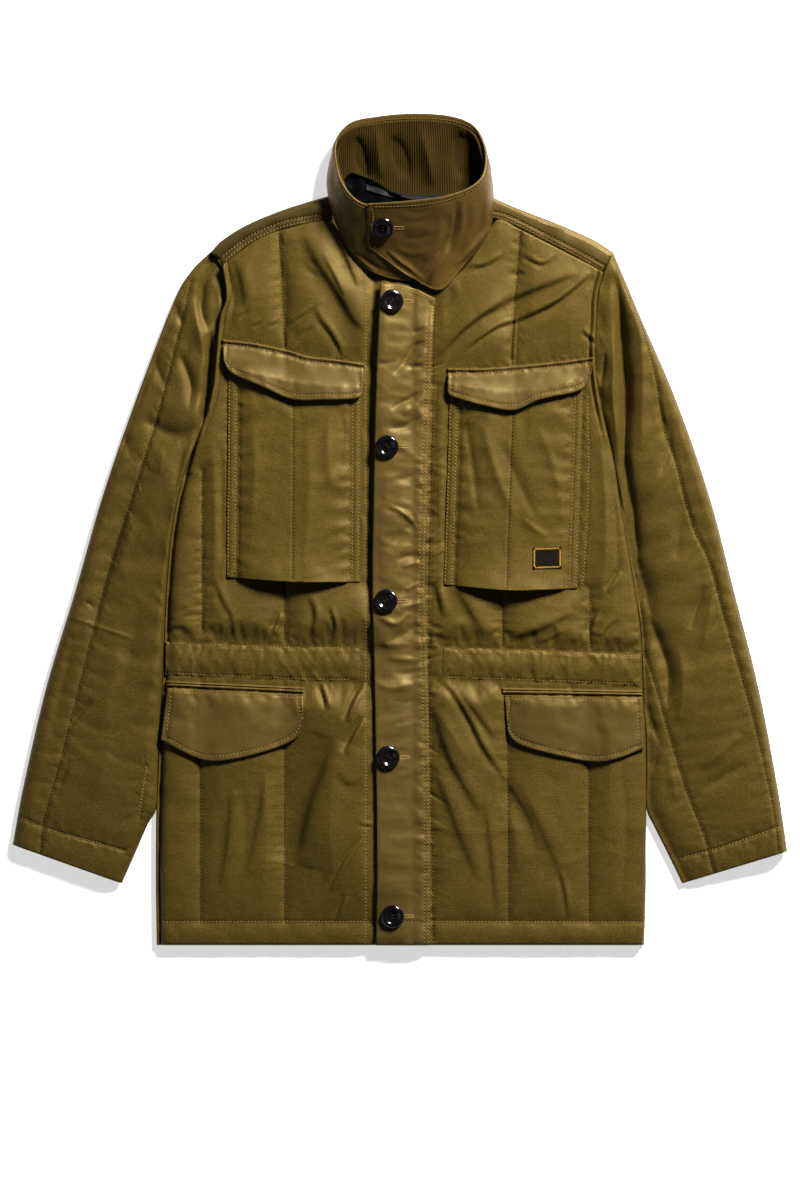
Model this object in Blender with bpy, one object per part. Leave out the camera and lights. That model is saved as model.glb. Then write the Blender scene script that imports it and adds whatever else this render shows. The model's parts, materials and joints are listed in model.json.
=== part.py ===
"""Field jacket, laid on its back with the front up.

A light padded jacket: two fronts and a back, a yoke folded over the shoulders, two sleeves, a stand
collar whose left end laps over the right, a storm fly, a gathered waist channel, four flap pockets
and six buttons. Every piece is a closed wall of its own, 0.3 mm or a little more from the next.

X runs to the wearer's left, Y to the collar, Z up from the surface that the jacket lies on. Sizes are
in millimetres and each mesh is scaled to metres as it is made. "Right" and "left" are the wearer's.
"""

import math

import bmesh
import bpy
import numpy as np
from mathutils import Vector
from mathutils.bvhtree import BVHTree

MM = 0.001

# Walls and the gaps between them.
BACK_WALL = 5.0
LAYER_GAP = 0.6
FRONT_UNDERSIDE = BACK_WALL + LAYER_GAP
FRONT_WALL = 4.0
FRONT_PUFF = 5.5
TOP_ROW_PUFF = 0.3
LOWEST_FOLD = -1.0
SEAM_GAP = 0.95
REST_GAP = 0.55

# How a piece is laid on others: looked at from above, at each point and this far round it, then at a
# lattice of this many steps in each of its cells, and lifted there in rounds.
LOOK_FROM_Z = 200.0
NOTHING_BELOW_Z = -100.0
LOOK_ROUND = 3.0
LAY_STEPS = 10
LAY_ROUNDS = 6

YOKE_WALL = 4.2
YOKE_PUFF = 1.5
SHOULDER_ROUND = 2.2
SHOULDER_INSIDE = 4.4
BACK_YOKE_SEAM_Y = 226.0

SLEEVE_WALL = 4.2
SLEEVE_SLIT = 0.7
SLEEVE_HOLLOW = 1.6
SLEEVE_PUFF = 5.5
SLEEVE_EDGE_ROUND = 2.0
SLEEVE_EDGE_WALL = 5.0
SLEEVE_THINNING = 0.35
SLEEVE_THINNEST = 2.5

COLLAR_WALL = 2.4
RIB_WALL = 1.8
RIB_GAP = 1.2
COLLAR_ROWS = (0.0, 0.12, 0.39, 0.66, 0.93, 1.0)
RIB_ROWS = COLLAR_ROWS[1:-1]
RIB_LAST_SECTION = 15

FLY_WALL = 2.6
CHANNEL_WALL = 1.4
POCKET_WALL = 3.0
POCKET_TOP_WALL = 1.0
POCKET_PUFF = 3.5
POCKET_MOUTH_LIFT = 4.0
FLAP_WALL = 2.4
FLAP_EDGE_LIFT = 2.0
WELT_WALL = 2.0
LABEL_WALL = 1.0
LINING_WALL = 1.2
LOOP_WALL = 1.2
LOOP_WIDTH = 7.0

BUTTON_RADIUS = 12.5
BUTTON_SIDES = 24
BUTTON_SEAT_RADII = (0.0, 6.0, BUTTON_RADIUS)
BUTTON_TILT_REACH = 11.25

# The side seams, hem to underarm. The right front stops short of the back and shows a strip of it.
# Columns: y, right x, left x.
SIDE = (
    (-448.5, -262.5, 263.5),
    (-423, -263, 264.5),
    (-385, -263.5, 265.5),
    (-345, -263.5, 265.5),
    (-300, -263, 266),
    (-262, -261.5, 266),
    (-225, -260, 265.5),
    (-190, -258, 263.5),
    (-157, -256.5, 262),
    (-121, -255, 261),
    (-85, -253.5, 257),
    (-45, -251, 250.5),
    (-5, -247, 244),
    (35, -240, 237),
    (71, -230, 232),
)
STRIP_OF_BACK = {"right": 4.5, "left": 0.6}

# The armholes, underarm to shoulder tip. Columns: right x, right y, left x, left y.
ARMHOLE = (
    (-230, 71, 232, 71),
    (-217, 103, 224, 103),
    (-208, 128, 217.5, 130),
    (-202, 155, 213, 156),
    (-199, 185, 210.5, 186),
    (-195, BACK_YOKE_SEAM_Y, 212, BACK_YOKE_SEAM_Y),
    (-188, 250, 213, 249),
    (-192, 284, 219.5, 277),
    (-204, 300, 230, 299),
)
YOKE_SEAM_FROM = 7
BACK_SEAM_FROM = 5

# The fronts' grid lines, side seam to centre. Columns: hem x, top x, top y, share of the padding's height.
FRONTS = {
    "right": (
        (-258, -192, 284, 0.1),
        (-236, -178, 296, 0.7),
        (-214, -160, 308.5, 0.1),
        (-170, -146, 316.5, 1.0),
        (-124, -129, 322.5, 0.1),
        (-82, -80, 333, 1.0),
        (-40, -63, 317, 0.2),
        (-14, -40, 282, 0.0),
        (13, 12, 264, 0.0),
    ),
    "left": (
        (263, 219.5, 277, 0.1),
        (234, 204, 286, 0.7),
        (204, 188, 294, 0.1),
        (160, 160, 308.5, 1.0),
        (117, 129, 324, 0.1),
        (82, 105, 334, 1.0),
        (46, 88, 308, 0.2),
        (30, 60, 274, 0.0),
        (15, 15, 264, 0.0),
    ),
}
# Where the padding is pressed flat right across: the hem stitching and the waist channel.
FLAT_ROWS_Y = (-448, -423, -157, -125)
FLAT_ROW_REACH = 16.0

# The shoulder edges with the back neck between them, and the yoke's front seams.
SHOULDER_EDGE = {
    "right": ((-204, 300), (-191, 313), (-163, 330), (-121, 347), (-80, 358)),
    "left": ((107, 356.5), (126, 347), (170, 330), (208, 313), (230, 299)),
}
BACK_NECK = ((-80, 358), (-66, 361), (-50, 364), (11, 365), (72, 364), (92, 361), (107, 356.5))
YOKE_SEAM = {
    "right": ((-192, 284), (-166, 305), (-137, 320), (-110, 328), (-80, 332.5)),
    "left": ((106, 334.5), (114, 332), (137, 321), (187, 295), (219.5, 277)),
}
SHOULDER_STEPS = 5
NECK_STEPS = 6

# The sleeves' outer edges, shoulder tip to cuff, and how their inner edges leave the side seams.
SLEEVE_OUTER = {
    "right": (
        (-204, 300),
        (-226, 278),
        (-245, 244),
        (-285, 140),
        (-321, 36),
        (-351, -68),
        (-382, -171),
        (-406, -275),
        (-418, -340),
    ),
    "left": (
        (230, 299),
        (246, 262),
        (261, 226),
        (298, 140),
        (334, 36),
        (361, -68),
        (387, -171),
        (407, -275),
        (418, -347),
    ),
}
SLEEVE_INNER_END = {
    "right": ((-272, -318), (-285, -348), (-300, -382)),
    "left": ((274, -320), (288, -348), (304.5, -382)),
}
SLEEVE_LEAVES_AT_Y = -300
SLEEVE_COLUMN_PUFF = (0.0, 0.75, 0.35, 0.9, 1.0, 0.55, 0.9, 0.7, 0.0)

# The collar's sections, from the right end, under, round the back to the left end, over.
# Columns: neck x, neck y, neck z, rim x, rim y, rim z, outward bulge.
COLLAR = (
    (13, 267, 15, 22, 350, 46, 1),
    (-12, 270, 15, -10, 347, 46, 2),
    (-38, 281, 15, -36, 348, 46, 3),
    (-55, 299, 14.5, -52, 357, 44, 4),
    (-66, 321, 14, -64, 375, 38, 5),
    (-74, 345, 11, -70.5, 399, 27, 6),
    (-70, 364.5, 6.5, -69, 421, 13, 5),
    (-53, 367, 0.5, -54, 438.5, 2, 0),
    (-26, 367.5, 0, -27, 445, 0, 0),
    (11, 368, 0, 11, 448.5, 0, 0),
    (50, 367.5, 0, 50, 446.5, 0, 0),
    (80, 367, 0.5, 76, 438, 2, 0),
    (97, 364, 6.5, 88.5, 422, 13, 2.5),
    (101, 343, 10, 93.5, 399, 27, 3),
    (96, 320, 14, 89, 379, 40, 5),
    (86, 302, 14.5, 75, 366, 48, 5),
    (67, 281, 17, 51, 357, 51.5, 4),
    (43, 257, 18, 25, 353, 52.5, 3),
    (12, 271, 21, -5, 350, 52.5, 2),
    (-35, 303.5, 33.5, -35, 348, 51.5, 1),
)

# The fly's edges, hem to neck. Columns: y, free edge x, stitched edge x.
FLY = (
    (-448.5, -26, 32),
    (-346, -25, 32),
    (-200, -27, 31),
    (-60, -30, 27),
    (20, -29, 29),
    (123, -27, 32),
    (206, -24, 35),
)
FLY_TOP = ((-21, 265.5), (8, 262), (38, 249))
FLY_ROWS = 20

# Bands and flaps as two edges each, upper and lower, side seam to centre.
WAIST_CHANNEL = {
    "right": (((-248, -121), (-125, -126), (-43, -126)), ((-248, -157), (-104, -163), (-43, -164))),
    "left": (((259, -135), (117, -129), (46, -127)), ((260, -169), (110, -163), (45, -161))),
}
HIP_WELT = {
    "right": (((-250, -163), (-104, -170)), ((-250, -169), (-104, -176.5))),
    "left": (((260, -173.5), (110, -170.5)), ((260, -179.5), (111, -177))),
}
HIP_FLAP = {
    "right": (
        ((-251, -171), (-180, -174), (-104, -178)),
        ((-258, -227), (-221, -246), (-195, -250), (-150, -241), (-118, -229), (-104, -205)),
    ),
    "left": (
        ((261, -181.5), (190, -180), (112, -178.5)),
        ((263, -236), (238, -246), (212, -251), (175, -245), (133, -234), (115, -205)),
    ),
}
CHEST_FLAP = {
    "right": (
        ((-192, 205), (-157, 201), (-120, 193), (-100, 187), (-66, 183), (-38, 179)),
        ((-189, 176), (-172, 163), (-148, 153), (-116, 139), (-80, 139), (-40, 141)),
    ),
    "left": (
        ((209, 186), (170, 181), (130, 177), (90, 174), (51, 174)),
        ((202, 160), (190, 148), (150, 139), (124, 128), (97, 130), (51, 144)),
    ),
}
CHEST_POCKET = {
    "right": (((-185, 158), (-110, 150), (-42, 148)), ((-187, -52), (-115, -57), (-43, -57))),
    "left": (((198, 150), (125, 145), (54, 148)), ((191, -64), (120, -66), (47, -60))),
}
LABEL = (((143, -20), (174, -19)), ((143, -43), (174, -42)))
NECK_LINING = (((-50, 363), (11, 364), (72, 363)), ((-44, 308), (11, 296), (68, 308)))
HANGER_LOOP_PATH = ((-37, 369), (-15, 362.5), (11, 357.5), (62, 356.5))

BUTTONS = {
    "button_collar": (-19, 323),
    "button_1": (-9, 245.5),
    "button_2": (-14, 89),
    "button_3": (-15, -77),
    "button_4": (-13, -245.5),
    "button_5": (-8, -417),
}
# Half the turned outline of a button: distance from its axis, and height.
BUTTON_PROFILE = (
    (0.0, 1.9),
    (6.2, 1.9),
    (8.0, 3.4),
    (10.6, 3.6),
    (12.5, 2.2),
    (12.1, 0.8),
    (10.0, 0.0),
    (0.0, 0.0),
)

# The largest folds, as ridges from one point to another; a height below zero is a trough. Past its
# ends a fold keeps this share of its length's fade. Columns: from x, from y, to x, to y, half width, height.
FOLD_END = 0.08
BODY_FOLDS = (
    (206, 270, 74, 192, 15, 4.5),
    (186, 240, 66, 178, 13, -2.0),
    (34, -172, 160, -352, 15, 4.5),
    (60, -168, 182, -330, 14, -2.0),
    (-104, 300, -56, 205, 14, 3.5),
    (-158, 290, -116, 215, 13, 3.0),
    (-198, 190, -130, 300, 14, -2.0),
    (-206, 130, -232, 20, 13, 3.0),
    (-100, -200, -128, -400, 15, 2.5),
    (-60, -190, -72, -420, 14, 2.5),
    (70, 150, 86, -110, 14, 2.0),
    (212, 140, 226, -40, 13, 2.5),
)
SLEEVE_FOLDS = (
    (-215, 205, -262, 60, 15, 4.0),
    (-232, 60, -300, 10, 14, 3.5),
    (-240, -40, -330, -90, 15, 3.0),
    (-262, -190, -380, -250, 16, 2.5),
    (-300, 70, -380, -200, 14, -1.5),
    (232, 210, 242, 10, 11, -3.0),
    (252, 215, 268, 20, 15, 4.0),
    (262, -60, 352, 10, 15, 3.0),
    (270, -150, 372, -100, 15, 2.5),
    (300, -330, 345, -190, 15, 3.0),
)

# Linear colour, roughness and metallic value of each cloth and of the buttons.
FINISHES = {
    "nylon": ((0.145, 0.092, 0.022), 0.55, 0.0),
    "twill": ((0.200, 0.135, 0.040), 0.45, 0.0),
    "rib": ((0.040, 0.022, 0.005), 0.85, 0.0),
    "lining": ((0.012, 0.012, 0.014), 0.60, 0.0),
    "tape": ((0.060, 0.058, 0.055), 0.60, 0.0),
    "label": ((0.015, 0.012, 0.010), 0.70, 0.0),
    "button": ((0.010, 0.007, 0.007), 0.15, 0.0),
}

built = {}


def clear_scene():
    for item in list(bpy.data.objects):
        bpy.data.objects.remove(item)


def material(name):
    """The finish's material, made once."""
    found = bpy.data.materials.get(name)
    if found:
        return found
    colour, roughness, metallic = FINISHES[name]
    made = bpy.data.materials.new(name)
    made.use_nodes = True
    surface = made.node_tree.nodes["Principled BSDF"]
    surface.inputs["Base Color"].default_value = (*colour, 1.0)
    surface.inputs["Roughness"].default_value = roughness
    surface.inputs["Metallic"].default_value = metallic
    made.diffuse_color = (*colour, 1.0)
    return made


def finish_piece(name, mesh, finish):
    """Turns the faces outward, keeps the triangles for what lies on them, and makes the object."""
    bmesh.ops.triangulate(mesh, faces=mesh.faces[:])
    bmesh.ops.recalc_face_normals(mesh, faces=mesh.faces[:])
    if mesh.calc_volume(signed=True) < 0:
        bmesh.ops.reverse_faces(mesh, faces=mesh.faces[:])
    mesh.verts.index_update()
    points = [vertex.co / MM for vertex in mesh.verts]
    built[name] = (points, [[v.index for v in face.verts] for face in mesh.faces])
    data = bpy.data.meshes.new(name)
    mesh.to_mesh(data)
    mesh.free()
    data.shade_smooth()
    data.set_sharp_from_angle(angle=math.radians(50))
    data.materials.append(material(finish))
    item = bpy.data.objects.new(name, data)
    bpy.context.scene.collection.objects.link(item)
    return item


def wall(name, outer, inner, finish, tube=False, left_out=None):
    """A closed wall between two grids of points. A tube's last column joins its first.

    left_out(row, column) says which cells neither skin has; the wall's edge runs round them.
    """
    rows, columns = outer.shape[:2]
    mesh = bmesh.new()
    skins = [[mesh.verts.new(Vector(p) * MM) for p in skin.reshape(-1, 3)] for skin in (outer, inner)]
    rims = set()
    for row in range(rows - 1):
        for column in range(columns if tube else columns - 1):
            if left_out and left_out(row, column):
                continue
            after = (column + 1) % columns
            cell = [
                row * columns + column,
                row * columns + after,
                (row + 1) * columns + after,
                (row + 1) * columns + column,
            ]
            mesh.faces.new([skins[0][index] for index in cell])
            mesh.faces.new([skins[1][index] for index in reversed(cell)])
            for start, end in zip(cell, cell[1:] + cell[:1]):
                if (end, start) in rims:
                    rims.remove((end, start))
                else:
                    rims.add((start, end))
    for start, end in sorted(rims):
        mesh.faces.new([skins[0][end], skins[0][start], skins[1][start], skins[1][end]])
    loose = [vertex for vertex in mesh.verts if not vertex.link_faces]
    bmesh.ops.delete(mesh, geom=loose, context="VERTS")
    return finish_piece(name, mesh, finish)


def smooth_curve(points, steps):
    """Points at even lengths along a curve through the given ones."""
    path = np.array(points, float)
    if len(path) == 2:
        return path[0] + np.linspace(0, 1, steps + 1)[:, None] * (path[1] - path[0])
    ends = np.vstack([2 * path[0] - path[1], path, 2 * path[-1] - path[-2]])
    fine = [path[0]]
    for before, start, end, after in zip(ends, ends[1:], ends[2:], ends[3:]):
        for t in np.linspace(0.05, 1, 20):
            pull = (end - before) * t + (2 * before - 5 * start + 4 * end - after) * t * t
            pull += (3 * start - before - 3 * end + after) * t**3
            fine.append(start + pull / 2)
    fine = np.array(fine)
    length = np.concatenate([[0], np.cumsum(np.linalg.norm(np.diff(fine, axis=0), axis=1))])
    wanted = np.linspace(0, length[-1], steps + 1)
    return np.stack([np.interp(wanted, length, fine[:, axis]) for axis in range(fine.shape[1])], axis=1)


def ruled(first, second, rows):
    """Rows of points from one edge to the other."""
    share = np.linspace(0, 1, rows + 1)[:, None, None]
    return first[None] * (1 - share) + second[None] * share


def panel_plan(side, centre, hem, top):
    """Plan points of a panel from its four edges; the hem's and top's shapes fade into the panel."""
    across = (hem[:, 0] - hem[0, 0]) / (hem[-1, 0] - hem[0, 0])
    up = (side[:, 1] - side[0, 1]) / (side[-1, 1] - side[0, 1])
    across = across[None, :, None]
    up = up[:, None, None]
    plan = side[:, None] * (1 - across) + centre[:, None] * across
    plan = plan + up**3 * (top[None] - top[0] - across * (top[-1] - top[0]))
    return plan + (1 - up) ** 3 * (hem[None] - hem[0] - across * (hem[-1] - hem[0]))


def with_height(plan, height):
    return np.concatenate([plan, np.broadcast_to(height, plan.shape[:2])[..., None]], axis=-1)


def fold_height(plan, folds):
    """What the folds add at each plan point: each dies away from its line and towards its ends."""
    total = np.zeros(plan.shape[:2])
    for from_x, from_y, to_x, to_y, half_width, height in folds:
        start = np.array([from_x, from_y], float)
        line = np.array([to_x, to_y], float) - start
        length = np.linalg.norm(line)
        along = ((plan - start) @ line) / length**2
        nearest = start + np.clip(along, 0, 1)[..., None] * line
        off = np.linalg.norm(plan - nearest, axis=-1)
        fade = np.sin(np.pi * np.clip(along, FOLD_END, 1 - FOLD_END))
        total += height * np.exp(-((off / half_width) ** 2)) * fade
    return total


def flat_row_share(plan):
    """1 where the padding stands up, 0 on the rows that stitching presses flat."""
    share = np.ones(plan.shape[:2])
    for y in FLAT_ROWS_Y:
        share *= 1 - np.exp(-(((plan[..., 1] - y) / FLAT_ROW_REACH) ** 2))
    return share


def ground_under(names):
    """One search tree over the pieces named."""
    points, faces = [], []
    for name in names:
        shift = len(points)
        points += built[name][0]
        faces += [[index + shift for index in face] for face in built[name][1]]
    return BVHTree.FromPolygons(points, faces)


def ground_height(tree, x, y, otherwise):
    hit = tree.ray_cast(Vector((x, y, LOOK_FROM_Z)), Vector((0, 0, -1)))[0]
    return hit.z if hit else otherwise


def rest_on(plan, names, gap=REST_GAP):
    """Heights that lay a grid on the pieces named, clear of every facet below it by the gap."""
    tree = ground_under(names)
    rows, columns = plan.shape[:2]
    heights = np.zeros((rows, columns))
    near = [(0, 0), (LOOK_ROUND, 0), (-LOOK_ROUND, 0), (0, LOOK_ROUND), (0, -LOOK_ROUND)]
    for row in range(rows):
        for column in range(columns):
            x, y = plan[row, column]
            heights[row, column] = gap + max(
                ground_height(tree, x + east, y + north, BACK_WALL) for east, north in near
            )
    shares = np.linspace(0, 1, LAY_STEPS + 1)
    weights = [np.outer([1 - down, down], [1 - across, across]) for down in shares for across in shares]
    floors = {}
    for _ in range(LAY_ROUNDS):
        lift = np.zeros((rows, columns))
        for row in range(rows - 1):
            for column in range(columns - 1):
                block = slice(row, row + 2), slice(column, column + 2)
                for index, weight in enumerate(weights):
                    spot = (row, column, index)
                    if spot not in floors:
                        x, y = (weight[..., None] * plan[block]).sum(axis=(0, 1))
                        floors[spot] = ground_height(tree, x, y, NOTHING_BELOW_Z) + gap
                    short = floors[spot] - (weight * heights[block]).sum()
                    if short > 0:
                        lift[block] = np.maximum(lift[block], short * weight / (weight**2).sum())
        heights += lift
    return heights


def plate(name, plan, names_below, thickness, finish):
    """A piece that lies on others, as thick as given at each of its points."""
    under = rest_on(plan, names_below)
    over = under + thickness
    return wall(name, with_height(plan, over), with_height(plan, under), finish)


def side_points(side):
    column = {"right": 1, "left": 2}[side]
    return np.array([(row[column], row[0]) for row in SIDE], float)


def armhole_points(side):
    column = {"right": 0, "left": 2}[side]
    return np.array([row[column : column + 2] for row in ARMHOLE], float)


def outward(side):
    return {"right": -1.0, "left": 1.0}[side]


def back():
    """The back, flat on the surface, from the hem to the yoke's back seam."""
    edges = {}
    for side in ("right", "left"):
        edges[side] = np.vstack([side_points(side), armhole_points(side)[1 : BACK_SEAM_FROM + 1]])
        edges[side][-1, 1] -= SEAM_GAP
    steps = 6
    hem = smooth_curve((edges["right"][0], edges["left"][0]), steps)
    seam = smooth_curve((edges["right"][-1], edges["left"][-1]), steps)
    plan = panel_plan(edges["right"], edges["left"], hem, seam)
    wall("back", with_height(plan, BACK_WALL), with_height(plan, 0.0), "nylon")


def front(side):
    """One front: padded between its stitched lines, flat at the centre, with its largest folds."""
    columns = np.array(FRONTS[side], float)
    arm = armhole_points(side)[1 : YOKE_SEAM_FROM + 1]
    seam = side_points(side)
    seam[:, 0] -= outward(side) * STRIP_OF_BACK[side]
    edge = np.vstack([seam, arm])
    centre_y = np.concatenate([seam[:, 1], np.linspace(seam[-1, 1], columns[-1, 2], len(arm) + 1)[1:]])
    centre = np.stack([np.linspace(columns[-1, 0], columns[-1, 1], len(centre_y)), centre_y], axis=1)
    hem = np.stack([columns[:, 0], np.full(len(columns), seam[0, 1])], axis=1)
    top = columns[:, 1:3].copy()
    top[:, 1] -= SEAM_GAP
    hem[0] = edge[0]
    top[0] = edge[-1] - (0, SEAM_GAP)
    edge[-1] = top[0]
    plan = panel_plan(edge, centre, hem, top)
    puff = FRONT_PUFF * columns[:, 3] * flat_row_share(plan)
    puff[-1] *= TOP_ROW_PUFF
    folds = fold_height(plan, BODY_FOLDS) * flat_row_share(plan) * (columns[:, 3] > 0)
    folds[-1] = 0.0
    over = FRONT_UNDERSIDE + FRONT_WALL + np.maximum(puff + folds, LOWEST_FOLD)
    wall(f"front_{side}", with_height(plan, over), with_height(plan, FRONT_UNDERSIDE), "nylon")


def yoke():
    """The yoke in one piece: flat across the back, folded at each shoulder edge, a tab on each front."""
    shoulder = {side: smooth_curve(SHOULDER_EDGE[side], SHOULDER_STEPS) for side in SHOULDER_EDGE}
    seam = {side: smooth_curve(YOKE_SEAM[side], SHOULDER_STEPS) for side in YOKE_SEAM}
    neck = smooth_curve(BACK_NECK, NECK_STEPS)[1:-1]
    edge = np.vstack([shoulder["right"], neck, shoulder["left"]])
    arm = {side: armhole_points(side) for side in SHOULDER_EDGE}
    back_seam = np.stack(
        [
            np.linspace(arm["right"][BACK_SEAM_FROM, 0], arm["left"][BACK_SEAM_FROM, 0], len(edge)),
            np.full(len(edge), BACK_YOKE_SEAM_Y),
        ],
        axis=1,
    )
    lower = panel_plan(arm["right"][BACK_SEAM_FROM:], arm["left"][BACK_SEAM_FROM:], back_seam, edge)
    tab_seam = np.vstack([seam["right"], np.zeros((len(neck), 2)), seam["left"]])
    tab_seam[: SHOULDER_STEPS + 1, 1] += SEAM_GAP
    tab_seam[-SHOULDER_STEPS - 1 :, 1] += SEAM_GAP
    inward = tab_seam - edge
    inward /= np.linalg.norm(inward, axis=1)[:, None]
    underside, top_height = FRONT_UNDERSIDE, FRONT_UNDERSIDE + YOKE_WALL
    middle = (edge + tab_seam) / 2
    fold = edge + inward * SHOULDER_INSIDE
    outer_rows = [with_height(lower[:-1], 0.0)]
    inner_rows = [with_height(lower[:-1], BACK_WALL)]
    folds = (
        (edge + inward * SHOULDER_ROUND, 0.0, fold, BACK_WALL),
        (edge, top_height / 2, fold - inward * LAYER_GAP, (BACK_WALL + underside) / 2),
        (edge + inward * SHOULDER_ROUND, top_height, fold, underside),
        (middle, top_height + YOKE_PUFF, middle, underside),
        (tab_seam, top_height, tab_seam, underside),
    )
    for outer_plan, outer_z, inner_plan, inner_z in folds:
        outer_rows.append(with_height(outer_plan[None], outer_z))
        inner_rows.append(with_height(inner_plan[None], inner_z))
    outer, inner = np.concatenate(outer_rows), np.concatenate(inner_rows)
    fold_row = len(lower) - 1
    first, last = SHOULDER_STEPS, SHOULDER_STEPS + NECK_STEPS - 1
    outer[fold_row, first + 1 : last + 1, :2] = edge[first + 1 : last + 1]
    inner[fold_row, first + 1 : last + 1, :2] = edge[first + 1 : last + 1]
    open_neck = range(first, last + 1)

    def at_neck(row, column):
        return row >= fold_row and column in open_neck

    wall("yoke", outer, inner, "twill", left_out=at_neck)


def moved_off_body(line, side, gap):
    """A seam line moved away from the body, square to itself."""
    along = np.gradient(line, axis=0)
    across = np.stack([along[:, 1], -along[:, 0]], axis=1)
    across /= np.linalg.norm(across, axis=1)[:, None]
    across *= np.where(across[:, :1] * outward(side) < 0, -1.0, 1.0)
    return line + across * gap


def sleeve(side):
    """A flattened padded tube, open at the armhole and the cuff."""
    arm, seam = armhole_points(side)[::-1], side_points(side)[::-1]
    off_body = moved_off_body(np.vstack([arm, seam[1:]]), side, SEAM_GAP)
    beside_body = seam[:, 1] >= SLEEVE_LEAVES_AT_Y
    arm, seam = off_body[: len(arm)], off_body[len(arm) - 1 :][beside_body]
    inner_edge = np.vstack([seam, np.array(SLEEVE_INNER_END[side], float)])
    outer_edge = smooth_curve(SLEEVE_OUTER[side], len(inner_edge) - 1)
    outer_edge[0] = arm[0]
    cuff = smooth_curve((outer_edge[-1], inner_edge[-1]), len(arm) - 1)
    rings = len(inner_edge)
    down = np.linspace(0, 1, rings)[:, None, None]
    across = np.linspace(0, 1, len(arm))[None, :, None]
    plan = outer_edge[:, None] * (1 - across) + inner_edge[:, None] * across
    plan = plan + (1 - down) ** 5 * (arm[None] - arm[0] - across * (arm[-1] - arm[0]))
    plan = plan + down**2 * (cuff[None] - cuff[0] - across * (cuff[-1] - cuff[0]))
    puff = np.array(SLEEVE_COLUMN_PUFF)
    hollow = SLEEVE_SLIT + SLEEVE_HOLLOW * puff
    ceiling = SLEEVE_WALL + hollow
    over = ceiling + SLEEVE_WALL + SLEEVE_PUFF * puff * (1 - SLEEVE_THINNING * down[..., 0])
    over = over + fold_height(plan, SLEEVE_FOLDS) * (puff > 0)
    over = np.maximum(over, ceiling + SLEEVE_THINNEST)

    def ring_loop(top_z, under_z, edge_z, edge_in, edge_mid_in):
        """Top left to right, round the inner edge, underside back, round the outer edge."""
        inset = plan.copy()
        steps = (plan[:, 1] - plan[:, 0], plan[:, -2] - plan[:, -1])
        first, last = (step / np.linalg.norm(step, axis=1)[:, None] for step in steps)
        inset[:, 0] += first * edge_in
        inset[:, -1] += last * edge_in
        top = with_height(inset, top_z)
        under = with_height(inset, under_z)
        inner_side = with_height((plan[:, -1] + last * edge_mid_in)[:, None], edge_z)
        outer_side = with_height((plan[:, 0] + first * edge_mid_in)[:, None], edge_z)
        return np.concatenate([top, inner_side, under[:, ::-1], outer_side], axis=1)

    rounding = np.where(np.arange(rings) > 0, SLEEVE_EDGE_ROUND, 0.0)[:, None]
    outer = ring_loop(over, 0.0, SLEEVE_WALL, rounding, 0.0)
    ceiling = np.broadcast_to(ceiling, over.shape)
    slit_middle = SLEEVE_WALL + SLEEVE_SLIT / 2
    inner = ring_loop(ceiling, SLEEVE_WALL, slit_middle, SLEEVE_EDGE_WALL + SLEEVE_SLIT, SLEEVE_EDGE_WALL)
    wall(f"sleeve_{side}", outer, inner, "nylon", tube=True)


def collar_surface(rows):
    """The collar's outer surface at the given shares of its height, and the direction out of it."""
    table = np.array(COLLAR, float)
    neck, rim, bulge = table[:, :3], table[:, 3:6], table[:, 6]
    share = np.array(rows)[:, None, None]
    surface = neck[None] * (1 - share) + rim[None] * share
    out = np.cross(np.gradient(surface, axis=1), np.broadcast_to(rim - neck, surface.shape))
    out /= np.linalg.norm(out, axis=-1)[..., None]
    middle = len(table) // 2 - 1
    if out[0, middle, 2] > 0:
        out = -out
    flat_back = (neck[:, 2] < 1.0)[None, :, None]
    out = np.where(flat_back, np.array([0.0, 0.0, -1.0]), out)
    return surface + out * bulge[None, :, None] * np.sin(np.pi * share), out


def collar():
    """The stand collar: an open strip round the neck with its left end over its right."""
    surface, out = collar_surface(COLLAR_ROWS)
    wall("collar", surface, surface - out * COLLAR_WALL, "twill")


def collar_rib():
    """The rib lining, just inside the collar, up to the lap."""
    surface, out = collar_surface(RIB_ROWS)
    surface, out = surface[:, : RIB_LAST_SECTION + 1], out[:, : RIB_LAST_SECTION + 1]
    near = COLLAR_WALL + RIB_GAP
    wall("collar_rib", surface - out * near, surface - out * (near + RIB_WALL), "rib")


def neck_lining():
    upper, lower = (smooth_curve(edge, 6) for edge in NECK_LINING)
    plate("neck_lining", ruled(upper, lower, 2), ["yoke"], LINING_WALL, "lining")


def hanger_loop():
    """A narrow tape across the back neck, over the lining."""
    middle = smooth_curve(HANGER_LOOP_PATH, 8)
    half = np.array([0.0, LOOP_WIDTH / 2])
    plan = ruled(middle + half, middle - half, 1)
    plate("hanger_loop", plan, ["neck_lining", "yoke"], LOOP_WALL, "tape")


def fly():
    """The storm fly over the fronts' edges."""
    table = np.array(FLY, float)
    left = smooth_curve([*table[:, [1, 0]], FLY_TOP[0]], FLY_ROWS)
    right = smooth_curve([*table[:, [2, 0]], FLY_TOP[-1]], FLY_ROWS)
    top = smooth_curve(FLY_TOP, 4)
    hem = smooth_curve((left[0], right[0]), 4)
    plan = panel_plan(left, right, hem, top)
    plate("fly", plan, ["front_right", "front_left"], FLY_WALL, "twill")


def waist_channel(side):
    upper, lower = (smooth_curve(edge, 9) for edge in WAIST_CHANNEL[side])
    plate(f"waist_channel_{side}", ruled(upper, lower, 2), [f"front_{side}"], CHANNEL_WALL, "nylon")


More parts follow.
